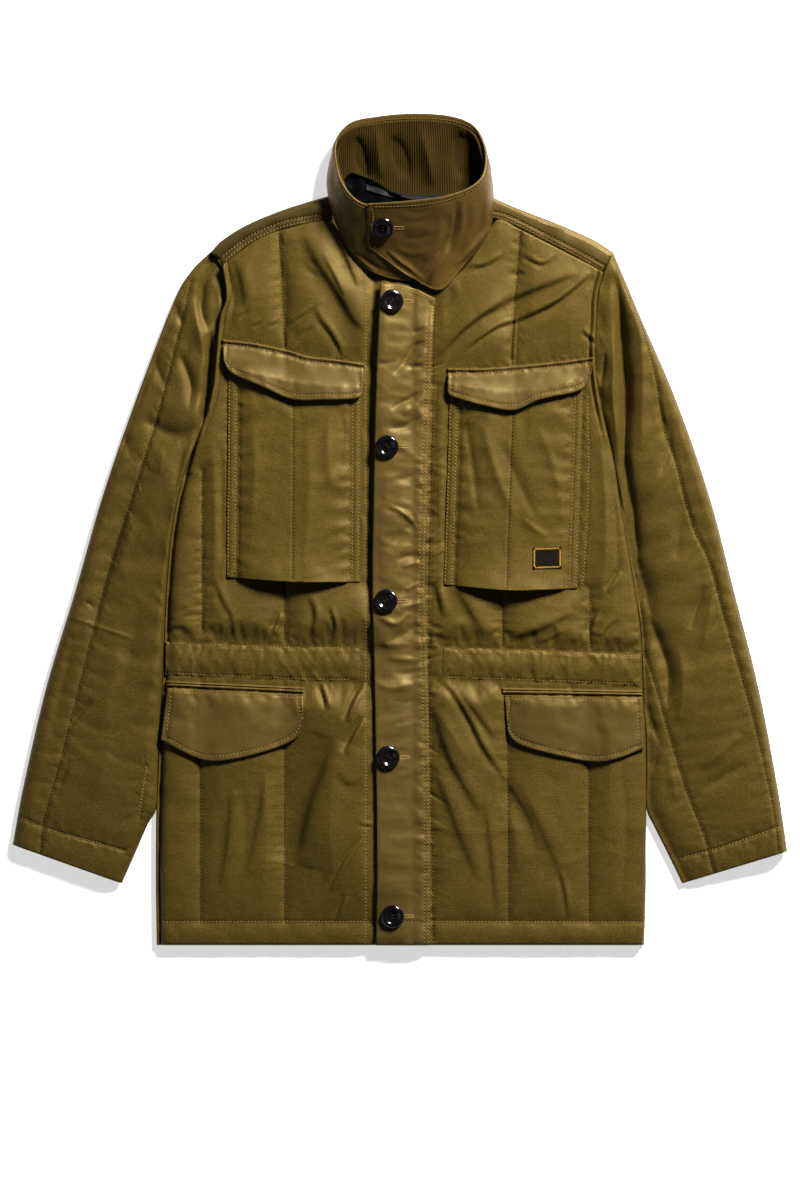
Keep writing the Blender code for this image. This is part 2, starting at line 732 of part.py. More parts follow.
def chest_pocket(side):
    """A bag that stands up along its open lower edge."""
    upper, lower = (smooth_curve(edge, 6) for edge in CHEST_POCKET[side])
    plan = ruled(upper, lower, 9)
    across = np.sin(np.pi * np.linspace(0, 1, plan.shape[1]))[None]
    down = np.linspace(0, 1, plan.shape[0])[:, None]
    thickness = POCKET_WALL + across * (POCKET_PUFF * np.sin(np.pi * down) + POCKET_MOUTH_LIFT * down**4)
    thickness[0] = POCKET_TOP_WALL
    plate(f"chest_pocket_{side}", plan, [f"front_{side}"], thickness, "nylon")


def flap(name, edges, below, side):
    """A pocket flap whose lower edge stands up a little."""
    upper, lower = (smooth_curve(edge, 9) for edge in edges)
    plan = ruled(upper, lower, 3)
    down = np.linspace(0, 1, plan.shape[0])[:, None]
    thickness = FLAP_WALL + FLAP_EDGE_LIFT * down * np.ones(plan.shape[:2])
    plate(f"{name}_{side}", plan, below, thickness, "twill")


def hip_welt(side):
    upper, lower = (smooth_curve(edge, 6) for edge in HIP_WELT[side])
    plate(f"hip_welt_{side}", ruled(upper, lower, 1), [f"front_{side}"], WELT_WALL, "twill")


def pocket_label():
    upper, lower = (smooth_curve(edge, 2) for edge in LABEL)
    plate("pocket_label", ruled(upper, lower, 2), ["chest_pocket_left"], LABEL_WALL, "label")


def button(name, x, y, below):
    """A turned button with a sunk middle, seated square on the cloth below it."""
    mesh = bmesh.new()
    rim = [mesh.verts.new(Vector((radius, 0, height)) * MM) for radius, height in BUTTON_PROFILE]
    edges = [mesh.edges.new(pair) for pair in zip(rim, rim[1:])]
    turn = {"cent": (0, 0, 0), "axis": (0, 0, 1), "steps": BUTTON_SIDES, "angle": math.tau}
    bmesh.ops.spin(mesh, geom=rim + edges, use_merge=True, **turn)
    bmesh.ops.remove_doubles(mesh, verts=mesh.verts[:], dist=0.001 * MM)
    tree = ground_under(below)
    reach = BUTTON_TILT_REACH
    east, west = (ground_height(tree, x + step, y, 0.0) for step in (reach, -reach))
    north, south = (ground_height(tree, x, y + step, 0.0) for step in (reach, -reach))
    slope = Vector(((west - east) / (2 * reach), (south - north) / (2 * reach), 1.0)).normalized()
    over = 0.0
    for angle in np.linspace(0, math.tau, BUTTON_SIDES, endpoint=False):
        for radius in BUTTON_SEAT_RADII:
            across, up = radius * math.cos(angle), radius * math.sin(angle)
            tilt = -(slope.x * across + slope.y * up) / slope.z
            over = max(over, ground_height(tree, x + across, y + up, 0.0) - tilt)
    item = finish_piece(name, mesh, "button")
    item.location = Vector((x, y, over + REST_GAP)) * MM
    item.rotation_euler = slope.to_track_quat("Z", "Y").to_euler()


def centre_on_origin():
    """Moves every piece so that the box round them all stands centred on the origin."""
    bpy.context.view_layer.update()
    pieces = list(bpy.context.scene.collection.objects)
    corners = np.array([item.matrix_world @ Vector(corner) for item in pieces for corner in item.bound_box])
    shift = -(corners.min(axis=0) + corners.max(axis=0)) / 2
    for item in pieces:
        item.location += Vector((shift[0], shift[1], 0.0))


def main():
    clear_scene()
    back()
    yoke()
    for side in ("right", "left"):
        front(side)
        sleeve(side)
    collar()
    collar_rib()
    neck_lining()
    hanger_loop()
    fly()
    for side in ("right", "left"):
        waist_channel(side)
        chest_pocket(side)
        flap("chest_flap", CHEST_FLAP[side], [f"front_{side}", f"chest_pocket_{side}"], side)
        hip_welt(side)
        flap("hip_flap", HIP_FLAP[side], [f"front_{side}"], side)
    pocket_label()
    for name, (x, y) in BUTTONS.items():
        button(name, x, y, ["collar"] if name == "button_collar" else ["fly"])
    centre_on_origin()


main()
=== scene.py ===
"""Looks of a field jacket that lies on its back with the front up.

Each cloth piece is a closed thin skin over the outline of its solid: a fine outer side with padding,
seams, creases and puckers, and a coarser side under it. What is sewn on a piece is laid on its surface,
and the stitches lie in the grooves of their seams.

Shapes are worked out in millimetres in the frame's axes: X to the wearer's left, Y to the collar, Z up.
"Right" and "left" are the wearer's.
"""

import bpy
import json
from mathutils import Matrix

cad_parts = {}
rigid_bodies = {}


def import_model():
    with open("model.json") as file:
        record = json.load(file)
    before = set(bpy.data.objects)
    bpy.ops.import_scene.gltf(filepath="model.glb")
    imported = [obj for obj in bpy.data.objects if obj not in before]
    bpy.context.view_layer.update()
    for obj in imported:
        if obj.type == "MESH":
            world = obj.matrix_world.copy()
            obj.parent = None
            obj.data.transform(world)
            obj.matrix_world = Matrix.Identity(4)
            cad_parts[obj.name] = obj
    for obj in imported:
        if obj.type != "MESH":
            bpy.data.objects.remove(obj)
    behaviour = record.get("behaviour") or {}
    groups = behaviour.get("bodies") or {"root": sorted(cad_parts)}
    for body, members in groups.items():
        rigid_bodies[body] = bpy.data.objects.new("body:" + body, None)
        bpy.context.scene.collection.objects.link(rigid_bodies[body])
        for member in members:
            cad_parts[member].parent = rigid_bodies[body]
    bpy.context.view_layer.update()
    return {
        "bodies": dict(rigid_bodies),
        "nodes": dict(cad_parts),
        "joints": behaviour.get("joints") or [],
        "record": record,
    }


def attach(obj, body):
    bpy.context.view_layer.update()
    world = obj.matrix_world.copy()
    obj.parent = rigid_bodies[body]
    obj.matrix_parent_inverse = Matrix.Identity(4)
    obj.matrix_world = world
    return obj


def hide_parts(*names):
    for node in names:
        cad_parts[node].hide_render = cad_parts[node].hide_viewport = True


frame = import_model()

import json
import math

import bmesh
import bpy
import numpy as np
from bpy.props import FloatProperty, FloatVectorProperty, PointerProperty
from mathutils import Matrix, Vector
from mathutils.bvhtree import BVHTree

bl_info = {
    "name": "Field jacket",
    "version": (1, 0, 0),
    "blender": (4, 5, 0),
    "location": "View3D > Sidebar > Field jacket",
    "description": "Cloth, seams, stitches, buttons and stage of a field jacket laid flat",
    "category": "Add Mesh",
}

MM = 0.001
SIDES = ("right", "left")

# A skin's coarse side has one cell for this many of the fine side, each way. Near an edge its points stand
# at these distances from it.
BLOCK = 4
EDGE_STEPS = (0.0, 0.5, 1.3, 2.4)

# Heights of the layers above the surface that the jacket lies on.
BACK_TOP = 5.0
FRONT_UNDERSIDE = 5.6
FRONT_WALL = 4.0
SHOULDER_TOP = 9.8
SLEEVE_EDGE_Z = 5.0
SLEEVE_TOP = 10.5
SLEEVE_PUFF = 3.0
REST_GAP = 0.3
# Taken for the ground where nothing lies under a piece.
OPEN_GROUND = 9.6
YOKE_WALL = 2.0
COLLAR_WALL = 2.4
COLLAR_HEIGHT = 85.0
LINING_Z = 4.2
FLOOR_Z = -0.2
# Above 1 the collar's front is steeper near its rim.
COLLAR_STEEPNESS = 1.35
RIB_WALL = 1.5

# The side seams, hem to underarm. Columns: y, right x, left x.
SIDE_SEAM = (
    (-448.5, -262.5, 263.5), (-423, -263, 264.5), (-385, -263.5, 265.5), (-345, -263.5, 265.5),
    (-300, -263, 266), (-262, -261.5, 266), (-225, -260, 265.5), (-190, -258, 263.5),
    (-157, -256.5, 262), (-121, -255, 261), (-85, -253.5, 257), (-45, -251, 250.5), (-5, -247, 244),
    (35, -240, 237), (71, -230, 232),
)
STRIP_OF_BACK = {"right": 4.5, "left": 0.6}
BACK_YOKE_SEAM_Y = 226.0

# The armholes, underarm to shoulder tip. Columns: right x, right y, left x, left y.
ARMHOLE = (
    (-230, 71, 232, 71), (-217, 103, 224, 103), (-208, 128, 217.5, 130), (-202, 155, 213, 156),
    (-199, 185, 210.5, 186), (-195, BACK_YOKE_SEAM_Y, 212, BACK_YOKE_SEAM_Y), (-188, 250, 213, 249),
    (-192, 284, 219.5, 277), (-204, 300, 230, 299),
)
YOKE_SEAM_FROM = 7
BACK_SEAM_FROM = 5

# The fronts' quilting, side seam to centre. Columns: hem x, top x, top y, share of the padding's height.
FRONTS = {
    "right": (
        (-258, -192, 284, 0.0), (-236, -178, 296, 0.7), (-214, -160, 308.5, 0.0),
        (-170, -146, 316.5, 1.0), (-124, -129, 322.5, 0.0), (-82, -80, 333, 1.0), (-40, -63, 317, 0.0),
        (-14, -40, 282, 0.0), (13, 12, 264, 0.0),
    ),
    "left": (
        (263, 219.5, 277, 0.0), (234, 204, 286, 0.7), (204, 188, 294, 0.0), (160, 160, 308.5, 1.0),
        (117, 129, 324, 0.0), (82, 105, 334, 1.0), (46, 88, 308, 0.0), (30, 60, 274, 0.0),
        (15, 15, 264, 0.0),
    ),
}
# Where the padding is pressed flat right across: the hem, its stitching and the waist channel.
HEM_STITCHES_Y = -423
FLAT_ROWS_Y = (-448, HEM_STITCHES_Y, -161, -127)
FLAT_ROW_REACH = 13.0

SHOULDER_EDGE = {
    "right": ((-204, 300), (-191, 313), (-163, 330), (-121, 347), (-73, 361)),
    "left": ((98, 359.5), (126, 347), (170, 330), (208, 313), (230, 299)),
}
BACK_NECK = ((-73, 361), (-62, 363), (-50, 364), (11, 365), (72, 364), (88, 362), (98, 359.5))
YOKE_SEAM = {
    "right": ((-192, 284), (-166, 305), (-137, 320), (-110, 328), (-73, 334)),
    "left": ((98, 336), (114, 332), (137, 321), (187, 295), (219.5, 277)),
}

SLEEVE_OUTER = {
    "right": (
        (-204, 300), (-226, 278), (-245, 244), (-285, 140), (-321, 36), (-351, -68), (-382, -171),
        (-406, -275), (-418, -340),
    ),
    "left": (
        (230, 299), (246, 262), (261, 226), (298, 140), (334, 36), (361, -68), (387, -171), (407, -275),
        (418, -347),
    ),
}
SLEEVE_INNER_END = {
    "right": ((-272, -318), (-285, -348), (-300, -382)),
    "left": ((274, -320), (288, -348), (304.5, -382)),
}
SLEEVE_LEAVES_AT_Y = -300

# The collar's sections, from the right end, under, round the back to the left end, over.
# Columns: neck x, neck y, neck z, rim x, rim y, rim z, outward bulge.
COLLAR = (
    (13, 267, 15, 22, 350, 46, 1),
    (-12, 270, 15, -10, 347, 46, 2),
    (-38, 281, 15, -36, 348, 46, 3),
    (-55, 299, 14.5, -52, 357, 44, 4),
    (-66, 321, 14, -64, 375, 39, 5),
    (-74, 345, 11, -70.5, 399, 29, 6),
    (-70, 364.5, 6.5, -69, 421, 19, 5),
    (-53, 367, 0.5, -54, 438.5, 13, 0),
    (-26, 367.5, 0, -27, 445, 11, 0),
    (11, 368, 0, 11, 448.5, 11, 0),
    (50, 367.5, 0, 50, 446.5, 12, 0),
    (80, 367, 0.5, 76, 438, 14, 2),
    (97, 364, 6.5, 88.5, 422, 21, 2.5),
    (101, 343, 10, 93.5, 399, 32, 3),
    (96, 320, 14, 89, 379, 42, 5),
    (86, 302, 14.5, 75, 366, 48, 5),
    (67, 281, 17, 51, 357, 51.5, 4),
    (43, 257, 17, 25, 353, 51.5, 3),
    (12, 271, 19, -5, 350, 50.5, 2),
    (-35, 303.5, 28, -35, 348, 49.5, 1),
)

# The fly's edges, hem to neck. Columns: y, free edge x, stitched edge x.
FLY = (
    (-448.5, -26, 32), (-346, -25, 32), (-200, -27, 31), (-60, -30, 27), (20, -29, 29), (123, -27, 32),
    (206, -24, 35),
)
FLY_TOP = ((-21, 265.5), (8, 262), (38, 249))
# Where the left front is drawn up along the fly.
FLY_SEAM = ((38, 235), (35, 100), (31, -100), (34, -300), (35, -440))

# Bands and flaps as two edges each, upper and lower.
WAIST_CHANNEL = {
    "right": (((-253, -121), (-125, -126), (-43, -126)), ((-253, -157), (-104, -163), (-43, -164))),
    "left": (((260, -135), (117, -129), (46, -127)), ((260.5, -169), (110, -163), (45, -161))),
}
HIP_WELT = {
    "right": (((-252, -163), (-104, -170)), ((-252, -169), (-104, -176.5))),
    "left": (((261, -173.5), (110, -170.5)), ((261, -179.5), (111, -177))),
}
HIP_FLAP = {
    "right": (
        ((-251, -171), (-180, -174), (-104, -178)),
        ((-258, -227), (-221, -246), (-195, -250), (-150, -241), (-118, -229), (-106, -218), (-104, -205)),
    ),
    "left": (
        ((261, -181.5), (190, -180), (112, -178.5)),
        ((263, -236), (238, -246), (212, -251), (175, -245), (133, -234), (118, -222), (115, -205)),
    ),
}
CHEST_FLAP = {
    "right": (
        ((-192, 205), (-157, 201), (-120, 193), (-100, 187), (-66, 183), (-38, 179)),
        (
            (-190, 182), (-184, 170), (-172, 163), (-148, 153),
            (-116, 139.5), (-80, 139), (-47, 140.5), (-40, 147),
        ),
    ),
    "left": (
        ((209, 186), (170, 181), (130, 177), (90, 174), (51, 174)),
        ((206, 167), (201, 156), (190, 148), (150, 139), (124, 128), (97, 131), (58, 142), (51, 149)),
    ),
}
CHEST_POCKET = {
    "right": (((-185, 176), (-110, 160), (-42, 154)), ((-187, -52), (-115, -57), (-43, -57))),
    "left": (((198, 164), (125, 150), (54, 158)), ((191, -64), (120, -66), (47, -60))),
}
LABEL = (((143, -20), (174, -19)), ((143, -43), (174, -42)))
NECK_LINING = (((-62, 392), (-20, 386), (11, 374), (90, 366)), ((-50, 308), (11, 290), (76, 304)))
HANGER_LOOP_PATH = ((-37, 369), (-15, 362.5), (11, 357.5), (62, 356.5))
HANGER_LOOP_WIDTH = 7.0

BUTTONS = {
    "button_collar": (-19, 323),
    "button_1": (-9, 245.5),
    "button_2": (-14, 89),
    "button_3": (-15, -77),
    "button_4": (-13, -245.5),
    "button_5": (-8, -417),
}
BUTTON_RADIUS = 12.5
# Half the turned outline of a button: distance from its axis, and height.
BUTTON_PROFILE = (
    (0.0, 1.9), (5.4, 1.9), (6.4, 2.1), (7.3, 2.9), (8.3, 3.5), (9.6, 3.75), (10.9, 3.5), (11.9, 2.8),
    (12.5, 1.9), (12.4, 1.0), (11.6, 0.3), (10.2, 0.0), (0.0, 0.0),
)
BUTTON_HOLE_REACH = 2.3
BUTTON_HOLE_RADIUS = 1.05
BUTTONHOLE_LENGTH = 9.5

# Distances of the stitched rows from the edge, or the seam, that they follow.
YOKE_STITCHES = (2.2, 7.0)
COLLAR_RIM_STITCHES = 4.8
COLLAR_END_STITCHES = 5.5
FLY_STITCHES = (1.4, 5.6)
CHANNEL_STITCHES = 1.8
BAG_STITCHES = (1.6, 8.8)
FLAP_STITCHES = 5.4

# Creases as soft ridges along a line of points; a height below zero is a trough.
# Columns: points, half width, height.
CREASES = {
    "front_right": (
        (((-126, 293), (-123, 248), (-123, 199)), 5, -1.6),
        (((-188, 289), (-179, 248), (-186, 213)), 5, -1.6),
        (((-203, 97), (-199, 10), (-201, -65)), 7, 1.4),
        (((-193, 86), (-192, -33)), 3.5, -1.6),
        (((-70, -249), (-76, -314), (-70, -389)), 12, 1.4),
        (((-173, -271), (-166, -325), (-173, -389)), 12, -1.2),
        (((-149, -260), (-143, -325), (-149, -400)), 10, 1.4),
    ),
    "front_left": (
        (((119, 276), (126.5, 275), (134, 276)), 2.6, -1.8),
        (((216, 259), (220, 215), (216, 194)), 6, 1.5),
        (((43, 248), (48, 215)), 4, 1.4),
        (((24, -172), (46, -206), (78, -256)), 14, 2.4),
        (((112, -290), (124, -330), (126, -370)), 13, 1.8),
        (((216, -184), (227, -249), (222, -335)), 12, 1.4),
        (((238, -249), (244, -325), (238, -400)), 8, -1.4),
        (((43, 129), (44, 32), (43, -76)), 3, 1),
        (((216, 107), (222, 10), (218, -76)), 7, 1.8),
        (((229, 64), (233, -11), (235, -76)), 5, -1.4),
    ),
    "sleeve_right": (
        (((-221, 268), (-220, 250), (-219, 225), (-215, 206), (-211, 186), (-213, 150)), 6, 2.4),
        (((-202, 287), (-211, 269), (-215, 252), (-214, 233), (-206, 213)), 6.5, -6),
        (((-197, 262), (-195, 242), (-198, 226)), 4, 1.2),
        (((-205, 213), (-204, 179), (-208, 141), (-214, 112)), 5, -10),
        (((-238, 190), (-230, 171), (-225, 152), (-228, 130)), 6.5, -4),
        (((-243, 244), (-235, 219)), 6, -2.6),
        (((-268, 188), (-260, 170), (-253, 152)), 8, -3),
        (((-246, 176), (-252, 150), (-262, 120)), 7, 1.2),
        (((-276, 118), (-250, 104), (-232, 102), (-211, 114)), 11, -5),
        (((-226, 98), (-236, 76), (-242, 46)), 9, -3),
        (((-300, 106), (-290, 78)), 9, -2.4),
        (((-257, 88), (-258, 58)), 9, 2),
        (((-285, 60), (-302, 5), (-318, -48), (-335, -116)), 7, -3),
        (((-288, 8), (-304, -46)), 6, 1.4),
        (((-330, 8), (-344, -44)), 9, 1.6),
        (((-340, -78), (-330, -83)), 2.5, -1.4),
        (((-358, -94), (-333, -102), (-310, -110), (-284, -119)), 2.2, 1.1),
        (((-352, -112), (-362, -160), (-378, -224)), 9, -2.2),
        (((-331, -185), (-346, -199), (-355, -212)), 2.4, -2.6),
        (((-264, -164), (-284, -185), (-301, -202)), 3.5, -1.5),
        (((-270, -242), (-280, -292)), 2.6, 1.2),
        (((-356, -246), (-364, -268), (-372, -292)), 4, -1.5),
        (((-281, -76), (-292, -141), (-313, -206)), 14, -1.8),
        (((-302, -119), (-311, -173), (-324, -217)), 12, 1.6),
        (((-313, -227), (-329, -292)), 12, 1.4),
    ),
    "sleeve_left": (
        (
            ((231, 276), (235, 252), (238, 224), (240, 190), (243, 158), (243, 120), (242, 84), (245, 50)),
            6.5, -11,
        ),
        (((243, 80), (247, 34), (251, -4), (257, -48)), 7, -9),
        (((229, 222), (230, 182), (229, 145), (232, 116), (237, 70)), 5, 2.6),
        (((250, 264), (256, 231), (261, 180), (261, 130), (260, 84)), 10, 3.6),
        (((221, 190), (219, 172), (216, 154)), 3, -3),
        (((275, 141), (283, 118), (291, 92), (280, 56)), 5, -2.2),
        (((262, 29), (278, 51), (294, 73)), 8, 2),
        (((312, 100), (322, 75), (328, 50)), 6, -1.5),
        (((308, 30), (301, -2), (297, -32)), 9, -2.4),
        (((256, -32), (264, -64), (272, -98)), 10, -5),
        (((268, -94), (281, -126), (289, -154), (288, -192)), 8, -5.5),
        (((300, -128), (305, -165), (300, -206)), 9, 2.4),
        (((328, -60), (320, -84), (312, -108)), 6, -3),
        (((337, -65), (332, -98), (326, -130)), 6, 1.6),
        (((256, -176), (270, -206), (282, -236)), 4.5, -2.6),
        (((327, -258), (346, -240), (367, -222)), 7, 2),
        (((324, -281), (351, -265), (373, -254)), 8, -1.8),
        (((289, -246), (298, -292)), 6, 1.6),
        (((278, -233), (273, -265)), 4, -1.6),
        (((373, -119), (383, -173)), 5, 1.2),
    ),
    "fly": (
        (((27.6, 217), (21, 214), (13, 211)), 1.8, -1.5),
        (((27, 202), (17, 198), (10, 189), (3, 178), (-6, 166)), 4.2, -3.0),
        (((28, 194), (20, 180), (12, 168)), 5, 1.8),
        (((26, 176), (14, 175), (3, 177)), 2.4, -1.4),
        (((-25, 178), (-14, 179), (-4, 181)), 3, -1.4),
        (((25, 149), (12, 141), (2, 136), (-10, 129)), 3.2, -2.6),
        (((24, 141), (14, 131), (2, 124)), 5, 1.6),
        (((23, 123), (12, 115), (4, 110), (-12, 109)), 4.5, -2.4),
        (((-12, 96), (2, 88), (18, 78)), 5, 1.4),
        (((22, 64), (8, 56), (-8, 54)), 5, -1.6),
        (((-13, 25), (-2, 21), (7, 15), (14, 8), (20, -1)), 2.6, 1.8),
        (((20, 8), (8, 3), (-4, -12), (-10, -26)), 9, -2.2),
        (((2, -42), (10, -38), (22, -35)), 2.6, 1.6),
        (((22, -28), (8, -29), (-4, -33)), 4.5, -1.6),
        (((7, -66), (14, -61), (22, -58)), 2.6, 1.4),
        (((0, -84), (10, -82), (22, -78)), 3, 1.4),
        (((-25, -92), (-14, -99), (-4, -101), (11, -90)), 3.6, 1.8),
        (((-14, -122), (2, -114), (20, -102)), 7, -2.4),
        (((-13, -138), (2, -140), (22, -140)), 3.4, 1.4),
        (((-27, -168), (-4, -170), (20, -166)), 4, 1.4),
        (((22, -152), (8, -155), (-8, -154)), 4.5, -1.5),
        (((22, -182), (8, -186), (-12, -184)), 4, -1.2),
        (((22, -206), (6, -212), (-8, -212)), 3.4, 1.2),
        (((20, -258), (6, -264), (-8, -262)), 4, 0.9),
        (((18, -330), (2, -334), (-16, -330)), 5, 0.8),
        (((20, -398), (6, -392), (-12, -396)), 4, 0.9),
    ),
    "collar": (
        (((62, 352), (58, 322), (50, 296)), 3.0, -2.6),
        (((68, 350), (66, 325), (58, 298)), 2.6, 1.6),
        (((54, 338), (50, 312), (40, 292)), 4.0, -1.8),
        (((46, 330), (38, 306), (26, 288)), 4.5, 1.6),
        (((-8, 326), (12, 328), (40, 334)), 3.5, -0.7),
        (((-4, 312), (18, 312), (44, 318)), 3.0, -0.6),
        (((-4, 302), (14, 296), (34, 300)), 3.0, 0.7),
        (((-16, 292), (4, 276), (22, 268)), 3.0, 1.2),
        (((-58, 330), (-50, 306), (-38, 290)), 4.5, 1.4),
        (((-66, 350), (-58, 322), (-46, 300)), 4.0, -1.4),
        (((-50, 300), (-30, 284), (-10, 276)), 3.0, -1.2),
        (((82, 350), (76, 322), (66, 298)), 4.0, 1.4),
        (((54, 306), (46, 292), (38, 279), (31, 264)), 3.4, 2.2),
        (((53, 316), (41, 294), (24, 272)), 2.6, -2.2),
        (((98, 326), (78, 304), (60, 284)), 3.4, 2.2),
        (((100, 316), (82, 296), (66, 282)), 2.4, -2.0),
        (((4, 341), (20, 339), (40, 343)), 3, -0.7),
        (((-14, 300), (-2, 290), (12, 280), (24, 270)), 2.6, 1.6),
        (((-62, 314), (-46, 294), (-24, 276)), 2.6, 1.6),
        (((90, 352), (86, 326), (76, 304)), 3.5, -1.2),
    ),
    "collar_rib": (
        (((-6, 424), (0, 404), (8, 380)), 7, -6.0),
        (((-26, 434), (-24, 408), (-20, 380)), 8, 3.0),
        (((-46, 424), (-42, 400), (-34, 378)), 7, -4.0),
        (((22, 432), (30, 404), (36, 372)), 9, 2.6),
        (((66, 428), (70, 404), (68, 380)), 12, -6.0),
    ),
    "chest_pocket_left": (
        (((70, 120), (78, 70), (84, 16)), 5, -2.4),
        (((88, 115), (104, 60), (124, 12)), 7, 2.6),
        (((106, 100), (128, 50), (148, 10)), 7, -1.8),
        (((130, 12), (146, 0), (160, -8)), 3, 1.4),
        (((150, 110), (168, 60), (176, 10)), 7, 1.6),
    ),
    "chest_pocket_right": (
        (((-64, 130), (-60, 100), (-66, 66)), 4, -1.8),
        (((-76, 128), (-78, 80), (-72, 40)), 6, 1.6),
        (((-160, 120), (-156, 60), (-162, 0)), 8, 1.6),
        (((-100, 110), (-98, 40), (-104, -30)), 8, 1.4),
    ),
}

# Folds as steps: along each line the cloth drops on the side away from the upper right.
# Columns: points, half the width of the step, half its height.
FOLDS = {
    "front_right": (
        (((-104, 316), (-92, 290), (-74, 264), (-60, 241), (-50, 224), (-36, 214)), 11, 3.2),
        (((-103, 286.5), (-87.2, 272.4)), 2.5, 0.6),
        (((-70, 322), (-58, 292), (-46, 262)), 6, 1.8),
        (((-84, 296), (-72, 274), (-60, 250)), 2.6, 0.8),
        (((-92, 238), (-86, 226), (-75, 212), (-67, 198), (-61, 182)), 3.4, 1.4),
        (((-120.8, 221.1), (-106.7, 229.9), (-92.5, 240.6)), 1.7, 1.1),
        (((-110, 208), (-96, 221)), 2.6, 0.8),
        (((-159.6, 219.4), (-149, 224.7)), 1.6, 1.0),
        (((-142, 219.4), (-131.3, 224.7)), 1.6, 1.0),
        (((-175.5, 228.2), (-165, 237)), 2.0, 0.9),
        (((-178, 290), (-170, 262), (-168, 236)), 7, 1.4),
        (((-199.9, -55.8), (-192, -76), (-182.7, -93.9)), 3.4, 0.9),
        (((-184, -84), (-181, -102), (-177, -120)), 3, 0.7),
        (((-129, -90), (-133, -100), (-138, -112)), 3, 1.6),
        (((-98, -72), (-92, -92), (-96, -116)), 4, 1.5),
        (((-76, -84), (-70, -104), (-74, -120)), 2.6, 1.4),
        (((-85.8, -165.8), (-81, -182), (-78, -194)), 2.8, 2.2),
        (((-39.1, -165.8), (-50.1, -185.1), (-58.3, -206)), 3.0, 2.8),
        (((-39, -203), (-50.1, -220.9), (-60, -241)), 3.0, 2.8),
        (((-66, -262), (-56, -274), (-42, -270)), 6, 0.8),
        (((-70, -226), (-84, -262), (-98, -300), (-112, -362)), 16, 4.6),
        (((-40.5, -332.2), (-55.6, -350), (-66.6, -369.3), (-76.2, -388.5)), 1.9, 1.6),
        (((-58.3, -394), (-64, -407), (-70.7, -421.4)), 2.3, 1.6),
        (((-44.6, -317), (-28.1, -319.8)), 1.7, 1.0),
        (((-146, -262), (-152, -310), (-166, -372)), 7, 1.2),
        (((-182, -280), (-186, -330), (-194, -390)), 6, 1.2),
    ),
    "front_left": (
        (((206.6, 275.7), (189.3, 260.8), (168.9, 245.2), (143.7, 232.5), (118, 222)), 4.2, 2.6),
        (((128, 226), (106, 218.4), (88.8, 207.4), (71.5, 194.8)), 2.3, 1.7),
        (((190.9, 275), (153.2, 260.8), (113.9, 245.1), (86, 229)), 7, 2.2),
        (((112, 243), (90.3, 231), (71.5, 216.8), (54.2, 199.6), (46.3, 183.8)), 4.2, 2.4),
        (((110.8, 295.4), (90.3, 284.4), (66.8, 282.8)), 3, 1.6),
        (((132.7, 295.4), (153.2, 285.9), (167.3, 295.4)), 2.2, 1.2),
        (((50, 268), (57, 258), (58, 246)), 3, 1.2),
        (((196, 214), (206, 206), (212, 200)), 2.2, 1.3),
        (((30, -150), (54, -173), (74, -204), (90, -236), (112, -268)), 3.8, 1.7),
        (((108, -264), (124, -286), (140, -314), (150, -346)), 8, 1.2),
        (((36, -196), (52, -246), (84, -304)), 8, 1.8),
        (((62, -172), (80, -196), (102, -226)), 5, 1.2),
        (((126, -272), (150, -320), (176, -380)), 11, 1.3),
        (((36, -252), (52, -300), (84, -380)), 9, 1.5),
        (((92, -300), (98, -352), (104, -412)), 6, 1.2),
        (((172, -368), (178, -396), (180, -418)), 3, 1.2),
        (((36, -56), (42, -74), (46, -94)), 4, 1.6),
        (((58, -62), (72, -84), (92, -116)), 9, 1.7),
        (((120, -118), (152, -108), (188, -90)), 7, 1.7),
        (((142, -125), (160, -119), (176, -110)), 3.5, 1.0),
        (((202.6, -116), (208, -100), (213.5, -87)), 2.6, 1.4),
        (((222, -66), (230, -56), (236, -44)), 3, 1.6),
        (((212, -124), (222, -108), (234, -96)), 4, 1.3),
    ),
}

